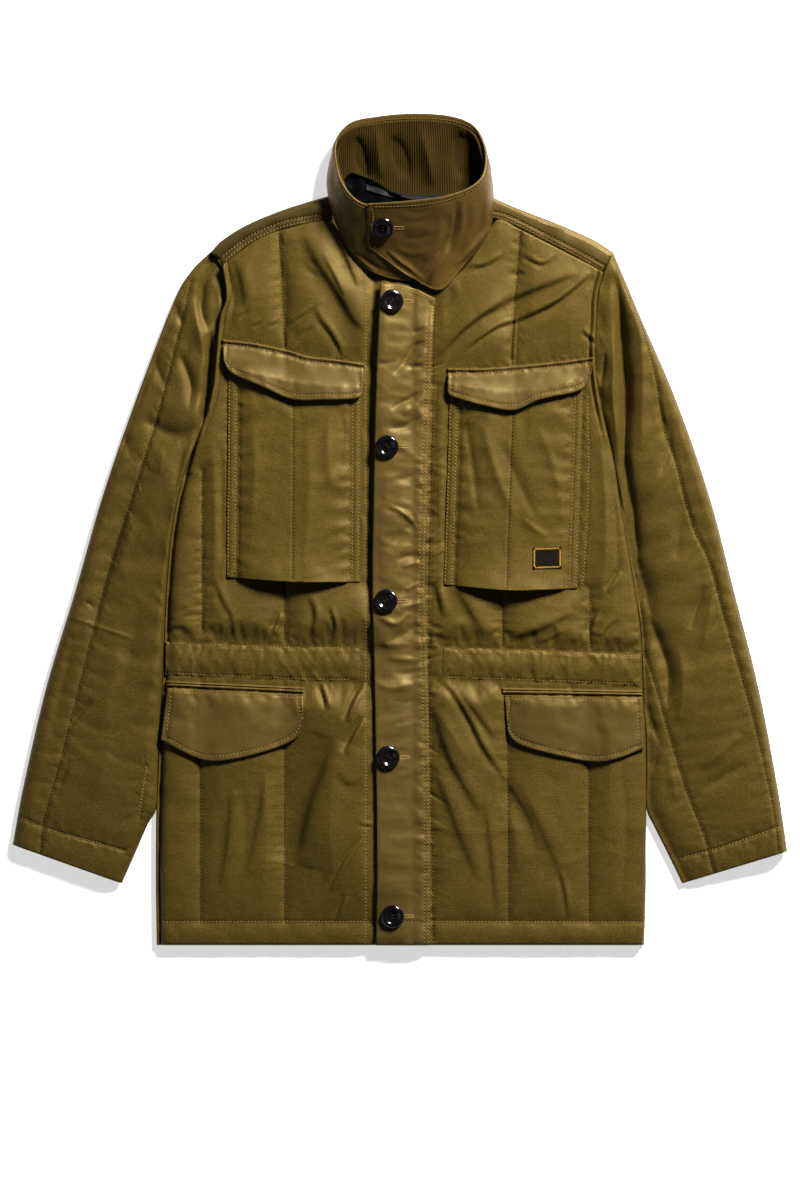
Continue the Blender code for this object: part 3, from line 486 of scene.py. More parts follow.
# Stitched lines on the large pieces.
# Columns: points, groove's half width and depth, puckers' reach and height.
SEAMS = {
    "front_right": (
        (((-213, 64), (-213, -108)), 1.6, 0.9, 7, 0.5),
        (((-214, -165), (-215, -250), (-215, -423)), 1.6, 0.9, 7, 0.5),
        (((-130.5, 318), (-127, 260), (-124, 196)), 1.8, 1.2, 7, 0.6),
        (((-124, -58), (-124, -122)), 1.6, 0.9, 6, 0.5),
        (((-124, -165), (-124, -300), (-124, -423)), 1.6, 0.9, 7, 0.5),
        (((-36.7, 300), (-36.7, 100), (-36.7, -200), (-36.7, -443)), 1.4, 0.7, 5, 0.5),
        (((-258, -423.5), (-150, -423), (-14, -423)), 1.5, 0.8, 6, 0.5),
    ),
    "front_left": (
        (((205, -66), (205, -128)), 1.6, 0.9, 6, 0.5),
        (((204, -182), (204, -300), (204.5, -423)), 1.6, 0.9, 7, 0.5),
        (((129.6, 318), (124, 245), (120, 182)), 1.8, 1.2, 7, 0.6),
        (((111, -68), (111, -126)), 1.6, 1.1, 8, 0.7),
        (((115.6, -178), (117, -300), (117.5, -423)), 1.6, 0.9, 7, 0.5),
        (((262, -424), (150, -423.5), (34, -423)), 1.5, 0.8, 6, 0.5),
        (((203, 145), (203, 40), (197, -62)), 1.3, 0.7, 4, 0.4),
        (((38, 245), (35, 100), (31, -100), (34, -300), (36, -443)), 1.2, 0.9, 9, 0.9),
    ),
    "sleeve_right": (
        (
            (
                (-224.6, 267), (-243, 193), (-263.5, 115), (-310, -33), (-338, -139), (-364, -243.5),
                (-383.5, -314), (-386, -340), (-389, -352),
            ),
            2.2, 1.3, 8, 0.6,
        ),
        (((-273, -255), (-282, -312)), 1.8, 0.8, 6, 0.4),
        (((-409, -310), (-378, -323.5), (-298, -346)), 1.6, 0.8, 6, 0.5),
    ),
    "sleeve_left": (
        (
            (
                (259, 226), (275, 167), (285, 106), (295, 80), (310, 22), (322, -12), (332.6, -33),
                (352, -103), (380, -201), (400.7, -290), (406, -325), (408, -348),
            ),
            2.2, 1.2, 8, 0.6,
        ),
        (
            (
                (250.6, -57), (260, -119), (274, -162.5), (291.6, -225), (309, -281), (328, -330),
                (336, -361), (340, -375),
            ),
            2.0, 1.2, 8, 0.5,
        ),
        (((304.6, -353.7), (332.6, -347), (378, -332), (413, -319)), 1.6, 0.8, 6, 0.5),
    ),
}

# A seam with a groove at least this deep presses the padding flat.
QUILTING_DEPTH = 0.9
# The simulated cloth is ten times its size, which suits the solver.
CLOTH_UNIT = 0.01
# Simulated cloth is held this close to its edges and to its seams.
EDGE_HOLD = 0.6
SEAM_HOLD = 1.8

grounds = {}
stitch_lines = []
seam_lines = []


# Shapes


def bell(distance, width):
    return np.exp(-((distance / width) ** 2))


def run_along(points):
    """How far along a line of points each of them is."""
    return np.concatenate([[0], np.cumsum(np.linalg.norm(np.diff(points, axis=0), axis=1))])


def at_shares(points, shares):
    """Points at shares of the length of a smooth curve through the given ones."""
    path = np.array(points, float)
    if len(path) == 2:
        return path[0] + np.asarray(shares)[:, None] * (path[1] - path[0])
    ends = np.vstack([2 * path[0] - path[1], path, 2 * path[-1] - path[-2]])
    fine = [path[0]]
    for before, start, end, after in zip(ends, ends[1:], ends[2:], ends[3:]):
        for t in np.linspace(0.05, 1, 20):
            pull = (end - before) * t + (2 * before - 5 * start + 4 * end - after) * t * t
            pull += (3 * start - before - 3 * end + after) * t**3
            fine.append(start + pull / 2)
    fine = np.array(fine)
    length = run_along(fine)
    wanted = np.asarray(shares) * length[-1]
    return np.stack([np.interp(wanted, length, fine[:, axis]) for axis in range(fine.shape[1])], axis=1)


def evenly(points, count):
    return at_shares(points, np.linspace(0, 1, count))


def path_through(points, steps=4):
    """A smooth path with some steps between each two of the given points."""
    return evenly(points, steps * (len(points) - 1) + 1)


def length_of(points):
    return np.linalg.norm(np.diff(evenly(points, 60), axis=0), axis=1).sum()


def grid_shares(length, step):
    """Shares of a length: close together at both ends, even between, in whole blocks of cells."""
    rim = np.array(EDGE_STEPS)
    inner = max(2, round((length - 2 * rim[-1]) / step))
    inner += -(inner + 2 * (len(rim) - 1)) % BLOCK
    middle = np.linspace(rim[-1], length - rim[-1], inner + 1)
    return np.concatenate([rim[:-1], middle, length - rim[-2::-1]]) / length


def panel_plan(side, centre, hem, top):
    """Plan points of a panel from its four edges; the hem's and top's shapes fade into the panel."""
    across = (hem[:, 0] - hem[0, 0]) / (hem[-1, 0] - hem[0, 0])
    up = (side[:, 1] - side[0, 1]) / (side[-1, 1] - side[0, 1])
    across = across[None, :, None]
    up = up[:, None, None]
    plan = side[:, None] * (1 - across) + centre[:, None] * across
    plan = plan + up**3 * (top[None] - top[0] - across * (top[-1] - top[0]))
    return plan + (1 - up) ** 3 * (hem[None] - hem[0] - across * (hem[-1] - hem[0]))


def ruled(first, second, shares):
    share = np.asarray(shares)[:, None, None]
    return first[None] * (1 - share) + second[None] * share


def with_height(plan, height):
    return np.concatenate([plan, np.broadcast_to(height, plan.shape[:2])[..., None]], axis=-1)


def from_edges(plan):
    """Distance along the grid lines from each of a grid's four edges: first and last column, then row."""
    found = []
    for axis in (1, 0):
        steps = np.linalg.norm(np.diff(plan, axis=axis), axis=-1)
        start = np.zeros_like(np.take(steps, [0], axis=axis))
        run = np.concatenate([start, np.cumsum(steps, axis=axis)], axis=axis)
        found += [run, np.take(run, [-1], axis=axis) - run]
    return found


def nearest(plan, path):
    """How far each plan point is from a line of points, how far along it, and on which side."""
    best = np.full(plan.shape[:-1], np.inf)
    run = np.zeros(plan.shape[:-1])
    side = np.ones(plan.shape[:-1])
    done = 0.0
    for start, end in zip(path, path[1:]):
        line = end - start
        length = math.hypot(*line)
        share = np.clip(((plan - start) @ line) / length**2, 0, 1)
        gap = plan - (start + share[..., None] * line)
        off = np.hypot(gap[..., 0], gap[..., 1])
        closer = off < best
        best = np.where(closer, off, best)
        run = np.where(closer, done + share * length, run)
        side = np.where(closer, np.sign(line[0] * gap[..., 1] - line[1] * gap[..., 0]), side)
        done += length
    return best, run, side, done


def crease_height(plan, creases):
    """What the creases add at each plan point: each dies away from its line and towards its ends."""
    total = np.zeros(plan.shape[:-1])
    for points, half_width, height in creases:
        path = path_through(points)
        off, run, _, length = nearest(plan, path)
        fade = np.sin(np.pi * np.clip(run / length, 0, 1)) ** 0.7
        width = half_width * (0.6 + 0.4 * fade)
        soft = bell(off, width)
        crisp = np.exp(-(np.sqrt(off**2 + 0.64) - 0.8) / (0.75 * width))
        total += height * fade * (0.4 * soft + 0.6 * crisp)
    return total


def fold_height(plan, folds):
    """What the folds add at each plan point: each rises on one side of its line and falls on the other."""
    total = np.zeros(plan.shape[:-1])
    for points, half_width, height in folds:
        path = path_through(points, 6)
        off, run, side, length = nearest(plan, path)
        whole = path[-1] - path[0]
        high_side = 1.0 if whole[0] * 0.83 - whole[1] * 0.55 > 0 else -1.0
        fade = np.sin(np.pi * np.clip(run / length, 0, 1)) ** 0.6
        across = off * side * high_side / half_width
        soft = across * np.exp(0.5 - across**2 / 2)
        crisp = 1.5 * np.tanh(3 * across) * np.exp(-np.abs(across) / 1.3)
        total += height * fade * (0.5 * soft + 0.5 * crisp)
    return total


def pucker_height(plan, points, reach, height, seed, spacing=5.5):
    """Small uneven ridges and troughs that cross a stitched line."""
    path = path_through(points)
    off, run, side, length = nearest(plan, path)
    near = off < 2.4 * reach
    off, run, side = off[near], run[near], side[near]
    added = np.zeros(len(off))
    draw = np.random.RandomState(seed)
    place = 0.0
    while place < length:
        place += spacing * draw.uniform(0.5, 1.6)
        lean = draw.uniform(-0.8, 0.8)
        width = draw.uniform(1.1, 2.6)
        far = reach * draw.uniform(0.4, 1.5)
        tall = height * draw.uniform(-1.2, 1.0)
        weight = np.where(side > 0, draw.uniform(0.3, 1), draw.uniform(0.3, 1))
        across = (run - place - lean * off * side) / width
        added += tall * weight * np.exp(-(across**2)) * bell(off, far)
    total = np.zeros(plan.shape[:-1])
    total[near] = added
    return total


def groove(off, half_width, depth):
    return -depth * bell(off, half_width)


def line_groove(plan, line, half_width, depth):
    return groove(nearest(plan, line)[0], half_width, depth)


def seam_height(name, plan, seams, seed):
    """Grooves and puckers of a piece's stitched lines, and the distance from its quilting lines.

    The lines are kept for their stitches.
    """
    total = np.zeros(plan.shape[:-1])
    from_quilting = np.full(plan.shape[:-1], 1000.0)
    for number, (points, half_width, depth, reach, height) in enumerate(seams):
        path = path_through(points)
        off, _, _, _ = nearest(plan, path)
        total += groove(off, half_width, depth)
        total += pucker_height(plan, points, reach, height, seed + 7 * number)
        # Deep seams get the near-black seam thread, partly its own colour and partly painted shade in the
        # groove; shallow rows get the pale thread.
        if depth >= QUILTING_DEPTH:
            from_quilting = np.minimum(from_quilting, off)
            seam_lines.append((name, points))
        else:
            stitch_lines.append((name, points))
    return total, from_quilting


def padded_height(distance, reach):
    """How much of the padding's height there is at a distance from the line that presses it flat."""
    return 1 - np.exp(-((distance / reach) ** 0.9))


def soft_noise(plan, size, seed):
    """Smooth random heights from -1 to 1, with bumps about as wide as the size."""
    lattice = np.random.RandomState(seed).uniform(-1, 1, (64, 64))
    place = plan / size + (31.3, 17.9)
    cell = np.floor(place).astype(int)
    share = place - cell
    share = share * share * share * (share * (share * 6 - 15) + 10)
    corner = {
        (east, north): lattice[(cell[..., 0] + east) % 64, (cell[..., 1] + north) % 64]
        for east in (0, 1)
        for north in (0, 1)
    }
    low = corner[0, 0] * (1 - share[..., 0]) + corner[1, 0] * share[..., 0]
    high = corner[0, 1] * (1 - share[..., 0]) + corner[1, 1] * share[..., 0]
    return low * (1 - share[..., 1]) + high * share[..., 1]


def crumple(plan, seed, height):
    """Faint irregular crumples of thin cloth, ridged at two sizes."""
    bent = plan + 9 * np.stack([soft_noise(plan, 38, seed), soft_noise(plan, 38, seed + 1)], axis=-1)
    broad = 1 - 2 * np.abs(soft_noise(bent, 34, seed + 2))
    fine = 1 - 2 * np.abs(soft_noise(bent, 15, seed + 3))
    return height * (0.7 * broad + 0.3 * fine)


def doubled(heights):
    """A grid of heights with one more between each two, on a smooth curve."""
    for _ in range(2):
        between = (heights[:-1] + heights[1:]) / 2
        between[1:-1] = (9 * (heights[1:-2] + heights[2:-1]) - heights[:-3] - heights[3:]) / 16
        finer = np.empty((2 * len(heights) - 1, heights.shape[1]))
        finer[::2] = heights
        finer[1::2] = between
        heights = finer.T
    return heights


def near_lines(plan, lines):
    """How far each plan point is from the nearest of some lines."""
    return np.minimum.reduce([nearest(plan, np.array(line, float))[0] for line in lines])


def puffed(plan, held, slack, stretch=(1.0, 1.0), lift=1.5, frames=22, bending=0.3, seed=1):
    """Heights of loose cloth that is held along its seams and pushed up by what it covers.

    The cloth is cut larger than its place: by the stretch all over, and by the slack, a share, at each
    point. It settles in Blender's cloth simulation on every second point of the grid.
    """
    coarse, pinned = plan[::2, ::2], held[::2, ::2]
    most = float(slack.max())
    start = 0.6 + 0.4 * soft_noise(coarse, 12, seed)
    rows, columns = coarse.shape[:2]
    points = with_height(coarse, np.where(pinned, 0.0, start)).reshape(-1, 3) * CLOTH_UNIT
    mesh = bpy.data.meshes.new("settling")
    mesh.from_pydata(points.tolist(), [], skin_quads(rows, columns).tolist())
    mesh.update()
    if mesh.polygons[0].normal.z < 0:
        mesh.flip_normals()
    cloth = linked("settling", mesh)
    cloth.vertex_groups.new(name="held").add(np.flatnonzero(pinned.reshape(-1)).tolist(), 1.0, "REPLACE")
    tight = cloth.vertex_groups.new(name="tight")
    level = np.round((1 - slack[::2, ::2].reshape(-1) / most) * 20).astype(int)
    for value in np.unique(level).tolist():
        tight.add(np.flatnonzero(level == value).tolist(), value / 20, "REPLACE")
    cloth.shape_key_add(name="in place")
    cut = cloth.shape_key_add(name="as cut")
    middle = points.mean(axis=0)
    cut.data.foreach_set("co", (middle + (points - middle) * (*stretch, 1.0)).reshape(-1))
    modifier = cloth.modifiers.new("cloth", "CLOTH")
    modifier.collision_settings.use_collision = False
    modifier.point_cache.frame_start = 1
    modifier.point_cache.frame_end = frames
    settings = modifier.settings
    settings.rest_shape_key = cut
    settings.quality = 5
    settings.mass = 0.3
    settings.air_damping = 2.0
    settings.tension_stiffness = 15
    settings.compression_stiffness = 15
    settings.shear_stiffness = 8
    settings.bending_stiffness = bending
    settings.vertex_group_mass = "held"
    settings.vertex_group_shrink = "tight"
    settings.shrink_min = -most
    settings.shrink_max = 0.0
    settings.effector_weights.gravity = 0.0
    settings.use_pressure = True
    settings.uniform_pressure_force = lift
    for frame in range(1, frames + 1):
        bpy.context.scene.frame_set(frame)
    settled = cloth.evaluated_get(bpy.context.evaluated_depsgraph_get()).to_mesh()
    found = np.empty(len(settled.vertices) * 3)
    settled.vertices.foreach_get("co", found)
    bpy.data.objects.remove(cloth)
    bpy.context.scene.frame_set(1)
    return doubled(found.reshape(rows, columns, 3)[..., 2] / CLOTH_UNIT)


def rolled(distance, radius):
    """How far a rounded edge drops at a distance from it."""
    inside = radius - np.minimum(distance, radius)
    return radius - np.sqrt(radius**2 - inside**2)


def blurred(heights, passes):
    """Heights evened out with their neighbours, the edges kept."""
    for _ in range(passes):
        padded = np.pad(heights, 1, mode="edge")
        around = padded[:-2, 1:-1] + padded[2:, 1:-1] + padded[1:-1, :-2] + padded[1:-1, 2:]
        heights = around / 8 + heights / 2
    return heights


# Meshes


def skin_quads(rows, columns, tube=False, first=0):
    index = np.arange(rows * columns).reshape(rows, columns) + first
    if tube:
        index = np.concatenate([index, index[:, :1]], axis=1)
    corners = (index[:-1, :-1], index[:-1, 1:], index[1:, 1:], index[1:, :-1])
    return np.stack(corners, axis=-1).reshape(-1, 4)


def linked(name, data):
    made = bpy.data.objects.new(name, data)
    bpy.context.scene.collection.objects.link(made)
    return made


def add_mesh(name, points, faces, finish, smooth_angle=60):
    mesh = bpy.data.meshes.new(name)
    mesh.from_pydata((np.asarray(points) * MM).tolist(), [], faces)
    mesh.update()
    mesh.shade_smooth()
    mesh.set_sharp_from_angle(angle=math.radians(smooth_angle))
    mesh.materials.append(finish)
    return linked(name, mesh)


def stand_in_for(piece, node):
    """The piece is shown in place of its CAD node, and others lie on it by that name."""
    if piece.name in grounds:
        grounds[node] = grounds[piece.name]
    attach(piece, "root")
    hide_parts(node)


def go_with_jacket(piece):
    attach(piece, "root")


def keep_ground(name, points, quads):
    grounds[name] = (np.asarray(points), quads)


def skin_piece(name, top, under, finish):
    """A closed piece: a fine skin, a coarse one with a cell for each block, and an edge between them."""
    rows, columns = top.shape[:2]
    low_rows, low_columns = under.shape[:2]
    fine = np.arange(rows * columns).reshape(rows, columns)
    coarse = np.arange(low_rows * low_columns).reshape(low_rows, low_columns) + rows * columns
    top_quads = skin_quads(rows, columns)
    faces = top_quads.tolist() + skin_quads(low_rows, low_columns, first=rows * columns)[:, ::-1].tolist()
    borders = (
        (fine[0][::-1], coarse[0][::-1]),
        (fine[-1], coarse[-1]),
        (fine[:, 0], coarse[:, 0]),
        (fine[:, -1][::-1], coarse[:, -1][::-1]),
    )
    for over, below in borders:
        for block in range(len(below) - 1):
            run = over[block * BLOCK : (block + 1) * BLOCK + 1].tolist()
            faces.append(run + [int(below[block + 1]), int(below[block])])
    points = np.concatenate([top.reshape(-1, 3), under.reshape(-1, 3)])
    if facing_down(top):
        faces = [face[::-1] for face in faces]
    keep_ground(name, top.reshape(-1, 3), top_quads)
    return add_mesh(name, points, faces, finish)


def facing_down(top):
    """Whether the grid's faces, taken in order, look down."""
    first = top[1:, :-1] - top[:-1, :-1]
    second = top[:-1, 1:] - top[:-1, :-1]
    return np.cross(second, first)[..., 2].mean() < 0


def wall_piece(name, outer, inner, finish, tube=False, left_out=None, smooth_angle=60):
    """A closed wall between two like grids. left_out marks the cells that neither skin has."""
    rows, columns = outer.shape[:2]
    quads = skin_quads(rows, columns, tube)
    if left_out is not None:
        quads = quads[~left_out.reshape(-1)]
    count = rows * columns
    edges = np.concatenate([quads[:, [i, (i + 1) % 4]] for i in range(4)])
    key = edges[:, 0] * count + edges[:, 1]
    rims = edges[~np.isin(key, edges[:, 1] * count + edges[:, 0])]
    sides = np.stack([rims[:, 1], rims[:, 0], rims[:, 0] + count, rims[:, 1] + count], axis=1)
    faces = np.concatenate([quads, quads[:, ::-1] + count, sides])
    points = np.concatenate([outer.reshape(-1, 3), inner.reshape(-1, 3)])
    used = np.unique(faces)
    renumber = np.zeros(len(points), int)
    renumber[used] = np.arange(len(used))
    piece = add_mesh(name, points[used], renumber[faces].tolist(), finish, smooth_angle)
    keep_ground(name, points, faces)
    mesh = bmesh.new()
    mesh.from_mesh(piece.data)
    if mesh.calc_volume(signed=True) < 0:
        bmesh.ops.reverse_faces(mesh, faces=mesh.faces[:])
        mesh.to_mesh(piece.data)
    mesh.free()
    return piece


def tree_over(names):
    """One search tree over the outer skins of the pieces named."""
    points, faces = [], []
    shift = 0
    for name in names:
        some, quads = grounds[name]
        points += some.tolist()
        faces += (quads + shift).tolist()
        shift += len(some)
    return BVHTree.FromPolygons(points, faces)


def heights_over(plan, names, otherwise=OPEN_GROUND):
    """Height of the pieces named under each plan point, looked at from above."""
    tree = tree_over(names)
    down = Vector((0, 0, -1))
    flat = plan.reshape(-1, 2)
    found = np.full(len(flat), float(otherwise))
    for index, (x, y) in enumerate(flat.tolist()):
        hit = tree.ray_cast(Vector((x, y, 200.0)), down)[0]
        if hit:
            found[index] = hit.z
    return found.reshape(plan.shape[:-1])


def laid_on(plan, names, passes, otherwise=OPEN_GROUND):
    """A stiffer cloth's heights over others: it bridges their hollows and clears their ridges."""
    ground = heights_over(plan, names, otherwise)
    bridged = blurred(ground, passes)
    return blurred(np.maximum(bridged, ground), 2) + REST_GAP


def inset_line(plan, from_end, distance, last=False):
    """The line at a distance from a grid's first or last row or column, as plan points."""
    lines = plan if from_end == "rows" else plan.transpose(1, 0, 2)
    if last:
        lines = lines[::-1]
    steps = np.linalg.norm(np.diff(lines, axis=0), axis=-1)
    run = np.concatenate([np.zeros((1, lines.shape[1])), np.cumsum(steps, axis=0)])
    points = []
    for column in range(lines.shape[1]):
        points.append([np.interp(distance, run[:, column], lines[:, column, axis]) for axis in (0, 1)])
    return np.array(points)


# Finishes


def made_once(build):
    """The finish of a name is made the first time that it is asked for."""

    def found(name, *args, **settings):
        return bpy.data.materials.get(name) or build(name, *args, **settings)

    return found


class Finish:
    """A fabric or plastic material, built node by node."""

    def __init__(self, name, turn=0.0):
        self.material = bpy.data.materials.new(name)
        self.material.use_nodes = True
        self.tree = self.material.node_tree
        self.surface = self.tree.nodes["Principled BSDF"]
        place = self.add("ShaderNodeTexCoord")
        turned = self.add("ShaderNodeMapping", {"Vector": place.outputs["Object"]})
        turned.inputs["Rotation"].default_value = (0, 0, turn)
        self.place = turned.outputs["Vector"]

    def add(self, kind, inputs=None, **settings):
        made = self.tree.nodes.new(kind)
        for key, value in settings.items():
            setattr(made, key, value)
        for key, value in (inputs or {}).items():
            self.feed(made.inputs[key], value)
        return made

    def feed(self, socket, value):
        if isinstance(value, bpy.types.NodeSocket):
            self.tree.links.new(value, socket)
        else:
            socket.default_value = value

    def math(self, operation, *values):
        return self.add("ShaderNodeMath", dict(enumerate(values)), operation=operation).outputs[0]

    def product(self, first, *others):
        for value in others:
            first = self.math("MULTIPLY", first, value)
        return first

    def toned(self, colour, tone):
        fed = {0: colour[:3], "Scale": tone}
        return self.add("ShaderNodeVectorMath", fed, operation="SCALE").outputs[0]

    def noise(self, scale, detail=2.0, roughness=0.5, stretch=None):
        place = self.place
        if stretch:
            place = self.add("ShaderNodeMapping", {"Vector": self.place}).outputs[0]
            place.node.inputs["Scale"].default_value = stretch
        fed = {"Vector": place, "Scale": scale, "Detail": detail, "Roughness": roughness}
        return self.add("ShaderNodeTexNoise", fed).outputs["Fac"]

    def spread(self, value, low, high, to_low=0.0, to_high=1.0):
        fed = {"Value": value, "From Min": low, "From Max": high, "To Min": to_low, "To Max": to_high}
        return self.add("ShaderNodeMapRange", fed).outputs["Result"]

    def blend(self, share, first, second):
        made = self.add("ShaderNodeMix", data_type="RGBA", blend_type="MIX")
        self.feed(made.inputs[0], share)
        self.feed(made.inputs[6], first)
        self.feed(made.inputs[7], second)
        return made.outputs[2]

    def waves(self, pitch, axis):
        """From 0 to 1 and back once for each pitch, in metres, along an axis."""
        split = self.add("ShaderNodeSeparateXYZ", {"Vector": self.place})
        turns = self.math("MULTIPLY", split.outputs[axis], math.tau / pitch)
        return self.math("MULTIPLY_ADD", self.math("SINE", turns), 0.5, 0.5)

    def bump(self, height, distance, strength=1.0, under=None):
        fed = {"Height": height, "Distance": distance, "Strength": strength}
        made = self.add("ShaderNodeBump", fed)
        if under:
            self.feed(made.inputs["Normal"], under)
        return made.outputs["Normal"]

    def finish(self, colour, roughness, normal=None, **plain):
        self.feed(self.surface.inputs["Base Color"], colour)
        self.feed(self.surface.inputs["Roughness"], roughness)
        if normal:
            self.feed(self.surface.inputs["Normal"], normal)
        for key, value in plain.items():
            self.surface.inputs[key.replace("_", " ").title().replace("Ior", "IOR")].default_value = value
        return self.material


def shade(colour, amount):
    return (*(max(0.0, channel * amount) for channel in colour[:3]), 1.0)


@made_once
def cloth_finish(
    name, colour, turn=0.0, pitch=0.0022, weave=0.00009, roughness=0.55, sheen=0.06, slubs=0.08
):
    """A woven cloth: threads both ways, slubs, soft stains of tone and a light sheen."""
    cloth = Finish(name, turn)
    warp, weft = cloth.waves(pitch, 0), cloth.waves(pitch * 0.93, 1)
    threads = cloth.math("MAXIMUM", warp, weft)
    slub = cloth.noise(420, 3.0, 0.6, stretch=(0.4, 1.6, 1.0))
    broad = cloth.noise(9, 3.0, 0.55)
    grain = cloth.noise(620, 2.0, 0.7)
    tone = cloth.product(
        cloth.spread(broad, 0.3, 0.7, 1 - slubs, 1 + slubs),
        cloth.spread(slub, 0.3, 0.7, 1 - 1.7 * slubs, 1 + 1.7 * slubs),
        cloth.spread(grain, 0.3, 0.7, 0.66, 1.34),
        cloth.spread(threads, 0.0, 1.0, 0.84, 1.06),
    )
    relief = cloth.math("ADD", threads, cloth.math("MULTIPLY", grain, 0.6))
    normal = cloth.bump(slub, 0.00012, 0.6, cloth.bump(relief, weave, 0.8))
    rough = cloth.spread(slub, 0.2, 0.8, roughness - 0.06, roughness + 0.08)
    light = {"specular_ior_level": 0.38, "specular_tint": (1.0, 0.74, 0.28, 1.0)}
    light |= {"sheen_weight": sheen, "sheen_roughness": 0.45, "sheen_tint": shade(colour, 4.0)}
    return cloth.finish(cloth.toned(colour, tone), rough, normal, **light)


@made_once
def twill_finish(name, colour, roughness=0.5, sheen=0.06, fade=None):
    """Fine twill: close diagonal ribs that hardly show, smoother and paler than the plain weave.

    A fade is an axis, where it starts and ends in metres, and the tone at both; it paints light and shade
    across the piece.
    """
    cloth = Finish(name, math.radians(62))
    ribs = cloth.waves(0.0009, 0)
    slub = cloth.noise(380, 3.0, 0.6)
    broad = cloth.noise(11, 3.0, 0.5)
    grain = cloth.noise(560, 2.0, 0.7)
    tone = cloth.product(
        cloth.spread(broad, 0.3, 0.7, 0.94, 1.06),
        cloth.spread(slub, 0.3, 0.7, 0.96, 1.04),
        cloth.spread(grain, 0.3, 0.7, 0.84, 1.16),
    )
    if fade:
        place = cloth.add("ShaderNodeTexCoord").outputs["Object"]
        along = cloth.add("ShaderNodeSeparateXYZ", {"Vector": place}).outputs[fade[0]]
        tone = cloth.product(tone, cloth.spread(along, *fade[1:]))
    normal = cloth.bump(cloth.math("ADD", ribs, slub), 0.00004, 0.7)
    rough = cloth.spread(slub, 0.2, 0.8, roughness - 0.05, roughness + 0.07)
    light = {"specular_ior_level": 0.45, "specular_tint": (1.0, 0.76, 0.32, 1.0)}
    light |= {"sheen_weight": sheen, "sheen_roughness": 0.4, "sheen_tint": shade(colour, 3.5)}
    return cloth.finish(cloth.toned(colour, tone), rough, normal, **light)


@made_once
def plain_finish(name, colour, roughness=0.7, scale=900, depth=0.00008, sheen=0.2, specular=0.2):
    """Threads, tapes, ribs and linings: a fine uneven grain over one colour."""
    cloth = Finish(name)
    grain = cloth.noise(scale, 3.0, 0.6)
    tone = cloth.spread(grain, 0.25, 0.75, 0.8, 1.2)
    rough = cloth.spread(grain, 0.2, 0.8, roughness - 0.05, roughness + 0.05)
    light = {"specular_ior_level": specular, "specular_tint": shade(colour, 1 / max(colour))}
    light |= {"sheen_weight": sheen, "sheen_tint": shade(colour, 3.0)}
    return cloth.finish(cloth.toned(colour, tone), rough, cloth.bump(grain, depth, 0.8), **light)


@made_once
def button_finish(name, colour):
    """Glossy moulded plastic with faint scuffs."""
    plastic = Finish(name)
    scuffs = plastic.noise(600, 4.0, 0.6)
    rough = plastic.spread(scuffs, 0.45, 0.75, 0.13, 0.19)
    worn = plastic.spread(scuffs, 0.5, 0.8, 0.0, 1.0)
    toned = plastic.blend(worn, shade(colour, 1.0), shade(colour, 1.6))
    light = {"coat_weight": 0.3, "coat_roughness": 0.04, "specular_ior_level": 0.5}
    return plastic.finish(toned, rough, plastic.bump(scuffs, 0.00001, 0.5), **light)


def nylon(turn=0, tone=1.0):
    """The shell cloth, with its weave turned by the given degrees; a tone below 1 is painted shade and one
    above 1 painted light.
    """
    colour = shade(bpy.context.scene.jacket_colours.nylon, tone)
    return cloth_finish(f"nylon_{turn:+d}_{tone:.2f}", colour, math.radians(turn))


def twill(tone=1.0, fade=None):
    """The smoother cloth of the trims; each piece has its own name where it fades. A tone below 1 is
    painted shade, one above 1 painted light, and a fade paints both across a piece.
    """
    name = f"fine_twill_{tone:.2f}" + ("" if fade is None else f"_{fade[0]}")
    return twill_finish(name, shade(bpy.context.scene.jacket_colours.twill, tone), fade=fade)


def collar_twill():
    colour = bpy.context.scene.jacket_colours.collar
    # Painted light and shade: the collar is lighter low on its front and darker towards its rim and round
    # the back.
    return twill_finish("collar_twill", colour, fade=(1, 0.26, 0.34, 1.55, 0.92))


# Pieces


def side_points(side):
    column = {"right": 1, "left": 2}[side]
    return np.array([(row[column], row[0]) for row in SIDE_SEAM], float)


def armhole_points(side):
    column = {"right": 0, "left": 2}[side]
    return np.array([row[column : column + 2] for row in ARMHOLE], float)


def outward(side):
    return {"right": -1.0, "left": 1.0}[side]


def flat_row_share(plan):
    share = np.ones(plan.shape[:2])
    for y in FLAT_ROWS_Y:
        share *= 1 - bell(plan[..., 1] - y, FLAT_ROW_REACH)
    return share


def build_back():
    """The back, flat where it rests, quilted like the fronts on the side that the fronts cover."""
    edges = {}
    for side in SIDES:
        edges[side] = np.vstack([side_points(side), armhole_points(side)[1 : BACK_SEAM_FROM + 1]])
        edges[side][-1, 1] -= 0.5
    both = np.hstack([edges["right"], edges["left"]])
    up = grid_shares(680, 5.0)
    rows = at_shares(both, up)
    across = grid_shares(525, 5.0)
    hem = ruled(edges["right"][0], edges["left"][0], across)[:, 0]
    seam = ruled(edges["right"][-1], edges["left"][-1], across)[:, 0]
    plan = panel_plan(rows[:, :2], rows[:, 2:], hem, seam)
    ends = from_edges(plan)
    edge = np.minimum.reduce(ends)
    strip = (plan[..., 0] < -200) & (plan[..., 1] < 60)
    rim = 2.4 * strip * np.exp(-((ends[0] / 2.6) ** 4))
    top = with_height(plan, BACK_TOP + rim - rolled(edge, 2.2) + 0.15 * soft_noise(plan, 30, 3))
    creased = 0.5 + 0.5 * soft_noise(plan, 60, 5)
    seams = sum(bell(plan[..., 0] - x, 2.0) for x in (-214, -124, 0, 117, 204))
    under = 1.2 * bell(edge, 2.0) + 0.6 * seams * (0.4 + 0.6 * creased)
    under = with_height(plan, np.where(under < 0.05, 0.0, under))
    piece = skin_piece("back_panel", top, under[::BLOCK, ::BLOCK], nylon())
    stand_in_for(piece, "back")


